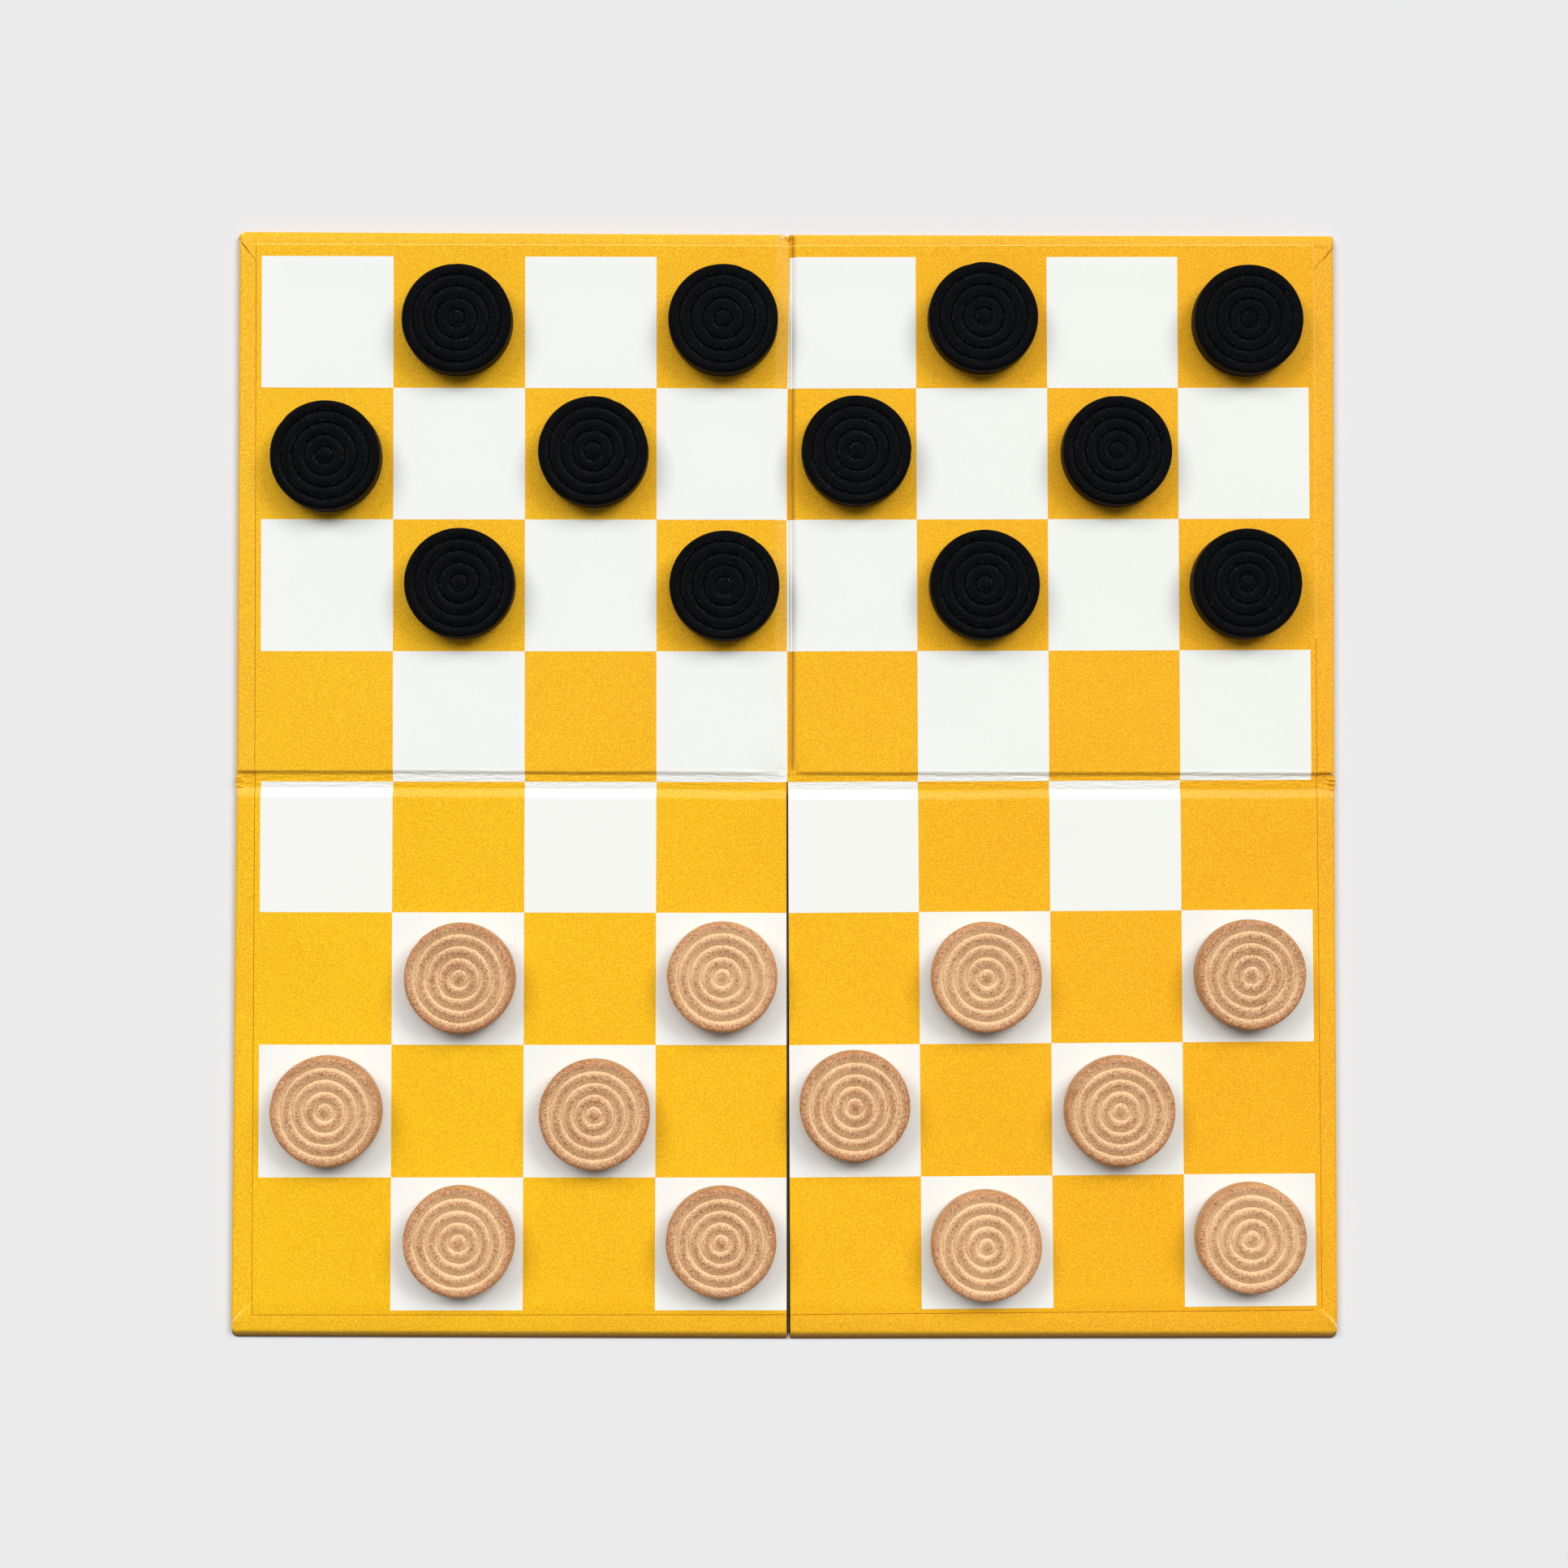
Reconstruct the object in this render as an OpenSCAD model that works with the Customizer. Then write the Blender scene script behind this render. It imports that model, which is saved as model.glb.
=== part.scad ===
// Game board that folds in four, wrapped in coloured paper, with a printed play sheet glued on top
// and two sides of ring-turned wooden men set up for play.
// The board lies open on its back. The origin is under its centre, +Z is up, and the dark men
// stand on the far side, towards +Y.

/* [Board] */
// Width of the open board, from its left edge to its right edge
board_w = 318.5; // [312:0.5:340]
// Depth of the open board, from its near edge to its far edge
board_d = 320.5; // [314:0.5:340]
// Thickness of the greyboard panels
board_t = 2.2; // [1.6:0.1:3]
// Radius of the board's outline at its four corners
corner_r = 1.4; // [1.2:0.1:3]
// Radius that the wrapped edge is rounded to
edge_r = 1.1; // [0.4:0.1:1.1]

/* [Folds] */
// How far the fold that runs across the board lies off its middle, towards the far edge
fold_at = 0.5; // [0:0.1:1]
// Gap between the greyboards at that fold, which closes print to print
fold_gap = 7.2; // [5:0.1:8]
// Width of the flat floor of that fold, where the play sheet is glued to the cover paper
fold_floor = 3.4; // [2:0.1:4.5]
// How far that floor lies off the middle of the gap, towards the far edge
fold_lean = 0.7; // [0:0.1:1]
// How far the play sheet dips into that fold
fold_dip = 0.7; // [0.3:0.1:1.5]
// Gap between the greyboards at the fold of the far half, which closes back to back
spine_gap = 6; // [5:0.1:8]
// Width of the flat floor of that fold
spine_floor = 2.6; // [1:0.1:4]
// How far the play sheet dips into that fold
spine_dip = 0.5; // [0.2:0.1:1]
// Width of the slit that parts the two near panels
slit_w = 0.2; // [0.1:0.1:1]
// Angle that the two halves are swung apart, which opens the slit towards the near edge
swing = 0.3; // [0:0.05:0.6]
// Width of the nick that the fold of the far half leaves in the far edge
nick_w = 2.2; // [1:0.1:4]
// Depth of that nick
nick_d = 0.6; // [0.3:0.1:1]

/* [Papers] */
// Thickness of the cover paper
cover_t = 0.2; // [0.15:0.05:0.3]
// Thickness of the play sheet
sheet_t = 0.2; // [0.15:0.05:0.3]
// How far the play sheet laps over the turned-in edge of the cover paper
lap = 3; // [2:0.5:3.5]
// Width of the mitred seam in the turned-in edge at each corner
seam_w = 0.2; // [0.1:0.05:0.4]

/* [Print] */
// Side of one square
square = 38.1; // [37:0.1:38.5]
// Border between the squares and the left or right edge of the play sheet
side_border = 1.6; // [1:0.1:3]
// Border between the squares and the near or far edge of the play sheet
end_border = 2.1; // [1:0.1:3]
// How far the play sheet was laid to the left of the board's middle
sheet_left = 0.1; // [0:0.1:0.5]
// How far it was laid towards the far edge
sheet_far = 1.8; // [0:0.1:2]
// How far the squares are printed towards the near edge from the middle of the sheet
print_near = 1; // [0:0.1:1.5]
// Angle that the sheet was laid askew
skew = 0.22; // [0:0.02:0.4]
// Depth that the white ink is let into the sheet
ink_t = 0.05; // [0.03:0.01:0.1]
// Margin of each white field inside its square
ink_margin = 0.05; // [0.03:0.01:0.2]

/* [Men] */
// Diameter of a man
man_d = 31.75; // [28:0.25:33]
// Thickness of a man over the ridges of its two faces
man_t = 8; // [6:0.5:11]
// Radius of the domed knob in the middle of each face
knob_r = 2.5; // [2:0.1:4]
// Distance from one turned groove to the next
ring_pitch = 3.4; // [2.5:0.1:3.4]
// Number of ridges between the knob and the rim
ring_count = 3; // [1:1:3]
// Depth of the turned grooves
groove_d = 0.6; // [0.3:0.1:0.9]
// Radius of the rim's edges
rim_r = 1.6; // [0.8:0.1:2.4]
// Most that a man is set down off the middle of its square, either way
astray = 2; // [0:0.1:2]

/* [Hidden] */
$fn = 64;

// Squares along each side of the board
squares = 8;

// Where each man stands, as the column and row of its square counted from the far left corner,
// and the shares of the most it may be astray, to the right and towards the far edge
BLACK_MEN = [
    [2, 1, -0.05, -0.05], [4, 1, 0.2, 0.05], [6, 1, 0, 0.3], [8, 1, 0.3, -0.15],
    [1, 2, 0.15, -0.75], [3, 2, 0.55, -0.05], [5, 2, 0.65, 0.1], [7, 2, 0.2, -0.05],
    [2, 3, 0.4, -0.05], [4, 3, 0.4, -0.35], [6, 3, 0, -0.3], [8, 3, -0.2, -0.25]
];
NATURAL_MEN = [
    [2, 6, 0.55, 0.35], [4, 6, 0.15, 0.5], [6, 6, -0.05, 0.3], [8, 6, -0.05, 0.45],
    [1, 7, 0.45, 0.3], [3, 7, 0.85, -0.2], [5, 7, -0.05, 0.95], [7, 7, 0, 0],
    [2, 8, 0.5, 0.65], [4, 8, 0, 0.55], [6, 8, -0.3, -0.2], [8, 8, -0.25, 0.65]
];

// Heights over the surface that the board lies on
board_top = cover_t + board_t;
turned_top = board_top + cover_t;
seat = board_top + sheet_t;

// The wrapped edge keeps a narrow flat between its two round corners
edge_flat = 0.2;
wrap_r = min(edge_r, (turned_top - edge_flat) / 2);

// The play sheet, and the opening between the turned-in edges that it covers
print_side = squares * square;
sheet_w = print_side + 2 * side_border;
sheet_d = print_side + 2 * end_border;
open_w = sheet_w - 2 * lap;
open_d = sheet_d - 2 * lap;

// How high the cover paper rises on the back of each fold, to meet the play sheet
fold_rise = board_top - fold_dip - cover_t;
spine_rise = board_top - spine_dip - cover_t;

// A length past every edge of the board, how far a cut runs past what it cuts, and how far a half
// spills over the centre line before the middle plane trims it
far = 400;
over = 1;
spill = 5;

// Edges of the greyboards along the fold across the board, and the line of the print where the
// slit stops
lip_far = fold_at + fold_gap / 2;
lip_near = fold_at - fold_gap / 2;
slit_end = sheet_far - print_near;

function man_name(side, i) = str(side, i < 9 ? "_man_0" : "_man_", i + 1);

PANELS = ["panel_far_left", "panel_far_right", "panel_near_left", "panel_near_right"];

// Rectangle with round corners, centred
module round_outline(w, d, r) {
    square([w - 2 * r, d], center = true);
    square([w, d - 2 * r], center = true);
    for (x = [-1, 1], y = [-1, 1])
        translate([x * (w / 2 - r), y * (d / 2 - r)])
            circle(r);
}

// Slab with rounded edges all round, standing on z = 0
module soft_slab(w, d, h, edge, corner) {
    intersection() {
        translate([0, 0, h / 2])
            rotate([90, 0, 0])
                linear_extrude(d + 2 * over, center = true)
                    round_outline(w, h, edge);
        translate([0, 0, h / 2])
            rotate([90, 0, 90])
                linear_extrude(w + 2 * over, center = true)
                    round_outline(d, h, edge);
        linear_extrude(h)
            round_outline(w, d, corner);
    }
}

// Outside of the wrapped board, and the space inside the cover paper
module wrapped_slab() {
    soft_slab(board_w, board_d, turned_top, wrap_r, corner_r);
}

module greyboard_slab() {
    translate([0, 0, cover_t])
        soft_slab(
            board_w - 2 * cover_t,
            board_d - 2 * cover_t,
            board_t,
            wrap_r - cover_t,
            corner_r - cover_t
        );
}

// Section of a fold, from its lips at height z to its flat floor, which lies a rise above them, or
// below them where the rise is negative
module fold_section(lips, floor_w, lean, z, rise) {
    out = z - sign(rise) * over;
    polygon([
        [-lips / 2, out], [-lips / 2, z], [lean - floor_w / 2, z + rise],
        [lean + floor_w / 2, z + rise], [lips / 2, z], [lips / 2, out]
    ]);
}

// Runs a section in the XZ plane along Y, from one place to another
module along_y(from, to) {
    translate([0, to, 0])
        rotate([90, 0, 0])
            linear_extrude(to - from)
                children();
}

// The fold that runs across the board, and the one in the middle of its far half
module across_fold(z, rise) {
    translate([0, fold_at, 0])
        rotate([0, 0, 90])
            along_y(-far / 2, far / 2)
                fold_section(fold_gap, fold_floor, fold_lean, z, rise);
}

module spine_fold(z, rise, near) {
    along_y(near, far / 2)
        fold_section(spine_gap, spine_floor, 0, z, rise);
}

// All that lies under a paper whose flat stretches are at height z, with its dips at the folds
module under(z) {
    difference() {
        translate([-far / 2, -far / 2, -over])
            cube([far, far, z + over]);
        across_fold(z, -fold_dip);
        spine_fold(z, -spine_dip, slit_end);
    }
}

// The rises of the cover paper on the back of both folds, over height z
module crowns(z, near) {
    across_fold(z, fold_rise);
    spine_fold(z, spine_rise, near);
}

// Prism over the opening between the turned-in edges, smaller by an inset on each side
module opening(inset, from = -over) {
    translate([0, 0, from])
        linear_extrude(turned_top + over - from)
            square([open_w - 2 * inset, open_d - 2 * inset], center = true);
}

// All that lies under a paper that steps up from one height in the opening to another over the
// turned-in edges
module under_step(z_inside, z_over_edge, inset) {
    intersection() {
        under(z_inside);
        opening(inset);
    }
    difference() {
        under(z_over_edge);
        opening(inset);
    }
}

// Block that runs from x0 outwards on one side of the board, and from y0 to y1
module side_block(side, x0, y0, y1) {
    translate([side < 0 ? -far / 2 : x0, y0, -over])
        cube([far / 2 - x0, y1 - y0, turned_top + sheet_t + 2 * over]);
}

// One half of the board in its own frame: it reaches the centre line at the far fold, and stops
// at the slit, which was cut along the print
module half_board(side) {
    intersection() {
        children();
        union() {
            side_block(side, -spill, slit_end, far / 2);
            on_print()
                side_block(side, slit_w / 2, -far / 2, over);
        }
    }
}

// Turns a half by its share of the swing about the middle of the board, and trims it there
module swung(side) {
    intersection() {
        rotate([0, 0, side * swing / 2])
            children();
        translate([side < 0 ? -far : 0, -far, -far])
            cube([far, 2 * far, 2 * far]);
    }
}

// Both halves, with the folded papers whole across the centre line
module both_halves() {
    for (side = [-1, 1])
        swung(side)
            half_board(side)
                children();
}

// Places what follows the sheet's own skew and place on the board
module on_sheet() {
    rotate([0, 0, skew])
        translate([-sheet_left, sheet_far, 0])
            children();
}

module on_print() {
    on_sheet()
        translate([0, -print_near, 0])
            children();
}

// Middle of a square in the print, by column and row from the far left corner
function middle(column, row) = [
    (column - (squares + 1) / 2) * square,
    ((squares + 1) / 2 - row) * square
];

module white_prisms() {
    on_print()
        for (row = [1:squares], column = [1:squares])
            if ((row + column) % 2 == 0)
                translate(middle(column, row))
                    linear_extrude(turned_top + sheet_t + over)
                        square(square - 2 * ink_margin, center = true);
}

// One greyboard: column is -1 for left and 1 for right, row is 1 for far and -1 for near
module panel(column, row) {
    color("tan")
        swung(column)
            half_board(column)
                intersection() {
                    greyboard_slab();
                    side_block(
                        column,
                        row > 0 ? spine_gap / 2 : -spill,
                        row > 0 ? lip_far : -far / 2,
                        row > 0 ? far / 2 : lip_near
                    );
                }
}

// Seams of the mitred corners, cut through the turned-in edge from the opening to the outline
module corner_seams() {
    for (x = [-1, 1], y = [-1, 1]) {
        run = [x * (board_w - open_w) / 2, y * (board_d - open_d) / 2];
        translate([x * open_w / 2, y * open_d / 2, board_top])
            rotate([0, 0, atan2(run[1], run[0])])
                translate([-over, -seam_w / 2, 0])
                    cube([norm(run) - corner_r + over, seam_w, cover_t + over]);
    }
}

// Nick in the far edge, where the folded wrap draws in
module far_nick() {
    edge = board_d / 2;
    linear_extrude(turned_top + over)
        polygon([
            [-nick_w / 2, edge + over], [-nick_w / 2, edge], [0, edge - nick_d],
            [nick_w / 2, edge], [nick_w / 2, edge + over]
        ]);
}

// The wrap, one sheet: back, rounded edges and turned-in edges, with both kinds of fold
module cover_paper() {
    color("gold")
        difference() {
            both_halves()
                difference() {
                    intersection() {
                        wrapped_slab();
                        under(turned_top);
                    }
                    difference() {
                        intersection() {
                            greyboard_slab();
                            under(board_top);
                        }
                        crowns(cover_t, lip_far);
                    }
                    difference() {
                        opening(0, cover_t);
                        crowns(cover_t, lip_far);
                    }
                    crowns(0, lip_far + cover_t);
                    corner_seams();
                }
            far_nick();
        }
}

// All that lies under the play sheet's printed face, and under the ink let into it
module under_print() {
    under_step(seat, turned_top + sheet_t, sheet_t);
}

module under_ink() {
    under_step(seat - ink_t, turned_top + sheet_t - ink_t, sheet_t - ink_t);
}

// The play sheet, glued to the greyboards and over the turned-in edges, with the white left out
module play_sheet() {
    color("orange")
        both_halves()
            difference() {
                intersection() {
                    under_print();
                    on_sheet()
                        linear_extrude(turned_top + sheet_t + over)
                            square([sheet_w, sheet_d], center = true);
                }
                under_step(board_top, turned_top, 0);
                difference() {
                    white_prisms();
                    under_ink();
                }
            }
}

// The white fields of the print, let into the play sheet
module white_squares() {
    color("white")
        both_halves()
            difference() {
                intersection() {
                    under_print();
                    white_prisms();
                }
                under_ink();
            }
}

// Radius of an arc from its half chord and its rise
function arc_r(half_chord, rise) = (half_chord * half_chord + rise * rise) / (2 * rise);

// Ridge of a turned face between two radii, with its crest at height h
module ridge(r0, r1, h) {
    r = arc_r((r1 - r0) / 2, groove_d);
    intersection() {
        translate([(r0 + r1) / 2, h - r])
            circle(r);
        translate([r0, 0])
            square([r1 - r0, h + over]);
    }
}

// Half of a man's section, from its middle plane up to one face
module half_section() {
    h = man_t / 2;
    rim = knob_r + ring_count * ring_pitch;
    intersection() {
        union() {
            square([man_d / 2, h - 2 * groove_d]);
            ridge(-knob_r, knob_r, h);
            for (i = [0:ring_count - 1])
                ridge(knob_r + i * ring_pitch, knob_r + (i + 1) * ring_pitch, h);
            ridge(rim, man_d / 2, h);
        }
        union() {
            square([man_d / 2 - rim_r, h]);
            square([man_d / 2, h - rim_r]);
            translate([man_d / 2 - rim_r, h - rim_r])
                circle(rim_r);
        }
    }
}

// One man, turned with the same rings on both faces
module man() {
    translate([0, 0, man_t / 2])
        rotate_extrude()
            intersection() {
                union() {
                    half_section();
                    mirror([0, 1])
                        half_section();
                }
                translate([0, -man_t])
                    square([man_d, 2 * man_t]);
            }
}

// Puts a man down where its entry in the list says
module set_down(entry) {
    side = entry[0] > squares / 2 ? 1 : -1;
    rotate([0, 0, side * swing / 2])
        on_print()
            translate(middle(entry[0], entry[1]))
                translate([entry[2] * astray, entry[3] * astray, seat])
                    man();
}

panel(-1, 1);  // panel_far_left
panel(1, 1);  // panel_far_right
panel(-1, -1);  // panel_near_left
panel(1, -1);  // panel_near_right
cover_paper();
play_sheet();
white_squares();
for (i = [0:len(BLACK_MEN) - 1])
    color("dimgray") set_down(BLACK_MEN[i]);
for (i = [0:len(NATURAL_MEN) - 1])
    color("burlywood") set_down(NATURAL_MEN[i]);
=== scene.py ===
"""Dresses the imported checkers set: papers with their folds, turned men, and a plain pale studio.

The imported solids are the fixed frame. Every piece is modelled again here in the place of its solid.
Sizes are in millimetres until a mesh is finished, and every finished object is in metres with its
place in its mesh.
"""

import logging
import math
from dataclasses import dataclass, field
from enum import Enum
from typing import Callable, Iterable, Sequence

import bmesh
import bpy
import numpy as np
from mathutils import Euler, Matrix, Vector


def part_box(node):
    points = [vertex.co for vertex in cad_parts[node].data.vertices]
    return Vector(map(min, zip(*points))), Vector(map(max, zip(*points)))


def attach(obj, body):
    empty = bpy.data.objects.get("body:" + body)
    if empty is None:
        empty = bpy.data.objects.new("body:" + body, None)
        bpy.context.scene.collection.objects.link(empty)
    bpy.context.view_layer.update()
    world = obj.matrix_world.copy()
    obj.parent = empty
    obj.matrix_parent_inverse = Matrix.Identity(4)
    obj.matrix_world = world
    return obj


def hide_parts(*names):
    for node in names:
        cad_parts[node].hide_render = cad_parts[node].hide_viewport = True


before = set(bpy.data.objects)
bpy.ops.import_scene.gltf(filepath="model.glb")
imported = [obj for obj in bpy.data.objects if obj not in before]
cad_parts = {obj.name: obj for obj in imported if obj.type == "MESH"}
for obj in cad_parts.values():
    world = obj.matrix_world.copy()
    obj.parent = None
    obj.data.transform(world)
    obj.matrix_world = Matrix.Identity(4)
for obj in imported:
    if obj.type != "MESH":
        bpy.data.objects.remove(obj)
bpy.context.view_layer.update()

MM = 0.001
BODY = "root"
MEN_PER_SIDE = 12
LOG = logging.getLogger("checkers_set")

Colour = tuple[float, float, float]
Stretch = tuple[float, float, float]
Zone = tuple[float, float, float]
Socket = bpy.types.NodeSocket
Material = bpy.types.Material
BMesh = bmesh.types.BMesh


def linear(colour: Colour) -> tuple[float, float, float, float]:
    """Turns a display colour into the linear one that a shader takes.

    Args:
        colour: Red, green and blue in steps of 255.

    Returns:
        The linear colour with full opacity.
    """
    parts = [step / 255 for step in colour]
    red, green, blue = (p / 12.92 if p <= 0.04045 else ((p + 0.055) / 1.055) ** 2.4 for p in parts)
    return red, green, blue, 1.0


def smooth(value: np.ndarray, start: float, end: float) -> np.ndarray:
    """Rises smoothly from 0 at start to 1 at end.

    Args:
        value: Where the rise is read.
        start: Value at which it is still 0.
        end: Value from which it is 1; it may be below start.

    Returns:
        The share at each value.
    """
    share = np.clip((value - start) / (end - start), 0, 1)
    return share * share * (3 - 2 * share)


def ramp(value: np.ndarray, start: float, end: float, softness: float) -> np.ndarray:
    """Rises in a straight slope from 0 at start to 1 at end, with rounded corners.

    Args:
        value: Where the slope is read.
        start: Value at which it begins.
        end: Value at which it ends; it may be below start.
        softness: How round the two corners are, as a share of the slope's width.

    Returns:
        The share at each value.
    """
    share = (value - start) / (end - start)
    return 0.5 * (1 + np.hypot(share, softness) - np.hypot(share - 1, softness))


def bell(value: np.ndarray, centre: float | np.ndarray, width: float) -> np.ndarray:
    """Rises to 1 at the centre and falls away to both sides.

    Args:
        value: Where the bell is read.
        centre: Where it is highest.
        width: Distance from there at which about a third is left.

    Returns:
        The share at each value.
    """
    return np.exp(-(((value - centre) / width) ** 2))


def ripples(x: np.ndarray, y: np.ndarray, seed: int, long: float, short: float) -> np.ndarray:
    """Sums a few slanting waves into uneven creases that run mostly along X.

    Args:
        x: Places along the creases.
        y: Places across the creases.
        seed: Seed of the waves' directions and phases.
        long: Usual length of a crease.
        short: Usual distance between creases.

    Returns:
        Heights of about -1 to 1.
    """
    draw = np.random.default_rng(seed)
    waves = 14
    total = np.zeros_like(x)
    for _ in range(waves):
        along = draw.uniform(-1, 1) / long
        across = draw.uniform(0.5, 1.3) / short
        total += np.sin(2 * math.pi * (along * x + across * y + draw.uniform()))
    return total / math.sqrt(waves)


def wander(value: np.ndarray, seed: int, period: float) -> np.ndarray:
    """Wanders smoothly between -1 and 1, as a line drawn by hand does.

    Args:
        value: Places along the line, up to 200 on both sides of its middle.
        seed: Seed of the line.
        period: Distance between its turns.

    Returns:
        How far off the line is at each place.
    """
    reach = 200
    knots = np.arange(-reach, reach + period, period)
    turns = np.random.default_rng(seed).uniform(-1, 1, len(knots))
    step = np.clip((value + reach) / period, 0, len(knots) - 1.001)
    index = step.astype(int)
    share = smooth(step - index, 0, 1)
    return turns[index] * (1 - share) + turns[index + 1] * share


def stations(marks: Iterable[float], zones: Sequence[Zone], coarse: float) -> np.ndarray:
    """Works out where the lines of a grid lie.

    Args:
        marks: Places that a line has to lie on, with both ends among them.
        zones: Stretches with closer lines, as start, end and greatest distance.
        coarse: Greatest distance between lines elsewhere.

    Returns:
        The places of the lines, in order.
    """
    marks = sorted(marks)
    ends = {round(m, 4) for m in marks}
    ends |= {round(e, 4) for zone in zones for e in zone[:2] if marks[0] < e < marks[-1]}
    ends = sorted(ends)
    lines = [ends[0]]
    for low, high in zip(ends, ends[1:]):
        middle = (low + high) / 2
        step = min([coarse] + [s for a, b, s in zones if a < middle < b])
        lines.extend(np.linspace(low, high, max(1, math.ceil((high - low) / step)) + 1)[1:])
    return np.array(lines)


def read_places(bm: BMesh) -> np.ndarray:
    """Reads the places of all vertices, one row each."""
    return np.array([vertex.co for vertex in bm.verts])


def write_places(bm: BMesh, places: np.ndarray) -> None:
    """Moves all vertices to the places given, one row each."""
    for vertex, place in zip(bm.verts, places):
        vertex.co = place


def mark_vertices(bm: BMesh, name: str, values: np.ndarray) -> None:
    """Stores a value for each vertex, which the piece's material reads by name.

    Args:
        bm: The piece's mesh.
        name: Name of the attribute.
        values: A number for each vertex, or a row of three.
    """
    layers = bm.verts.layers
    layer = (layers.float if values.ndim == 1 else layers.float_vector).new(name)
    for vertex, value in zip(bm.verts, values):
        vertex[layer] = value


def laid_grid(columns: np.ndarray, rows: np.ndarray) -> BMesh:
    """Makes a flat grid whose lines lie at the stations given.

    Args:
        columns: Places of the lines along X.
        rows: Places of the lines along Y.

    Returns:
        The grid, facing up.
    """
    bm = bmesh.new()
    bmesh.ops.create_grid(bm, x_segments=len(columns) - 1, y_segments=len(rows) - 1, size=1)
    places = read_places(bm)
    places[:, 0] = np.interp(places[:, 0], np.linspace(-1, 1, len(columns)), columns)
    places[:, 1] = np.interp(places[:, 1], np.linspace(-1, 1, len(rows)), rows)
    write_places(bm, places)
    return bm


def new_object(name: str, data: bpy.types.ID) -> bpy.types.Object:
    """Makes an object and links it to the scene.

    Args:
        name: Name of the object.
        data: Its mesh, light or camera.

    Returns:
        The object.
    """
    made = bpy.data.objects.new(name, data)
    bpy.context.scene.collection.objects.link(made)
    return made


def mesh_object(bm: BMesh, name: str) -> bpy.types.Object:
    """Turns a mesh into an object in the scene.

    Args:
        bm: The mesh, which is used up.
        name: Name of the object and of its mesh.

    Returns:
        The object.
    """
    mesh = bpy.data.meshes.new(name)
    bm.to_mesh(mesh)
    bm.free()
    return new_object(name, mesh)


def finish_piece(
    bm: BMesh,
    name: str,
    nodes: Sequence[str],
    materials: Sequence[Material],
    thickness: float = 0,
    crease: float = 40,
) -> bpy.types.Object:
    """Turns a mesh in millimetres into a finished piece that stands for its solids.

    Args:
        bm: The mesh, which is used up.
        name: Name of the piece.
        nodes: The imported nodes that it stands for.
        materials: Its materials. A face wears the first one unless it asks for another, and the rim
            of a sheet wears the one after that of the face beside it.
        thickness: Thickness that a sheet gets behind its face, or 0 for a closed mesh.
        crease: Angle in degrees from which an edge stays sharp.

    Returns:
        The piece, at the origin and riding on its body.
    """
    bmesh.ops.scale(bm, vec=(MM, MM, MM), verts=bm.verts)
    piece = mesh_object(bm, name)
    mesh = piece.data
    for material in materials:
        mesh.materials.append(material)
    if thickness:
        solid = piece.modifiers.new("thickness", "SOLIDIFY")
        solid.thickness = thickness * MM
        solid.offset = -1
        solid.material_offset_rim = 1
        view = bpy.context.evaluated_depsgraph_get()
        thick = bpy.data.meshes.new_from_object(piece.evaluated_get(view))
        piece.modifiers.clear()
        piece.data = thick
        bpy.data.meshes.remove(mesh)
        thick.name = name
    piece.data.shade_smooth()
    piece.data.set_sharp_from_angle(angle=math.radians(crease))
    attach(piece, BODY)
    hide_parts(*nodes)
    triangles = sum(len(face.vertices) - 2 for face in piece.data.polygons)
    LOG.info("%s: %d triangles, stands for %s", name, triangles, ", ".join(nodes))
    return piece


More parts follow.
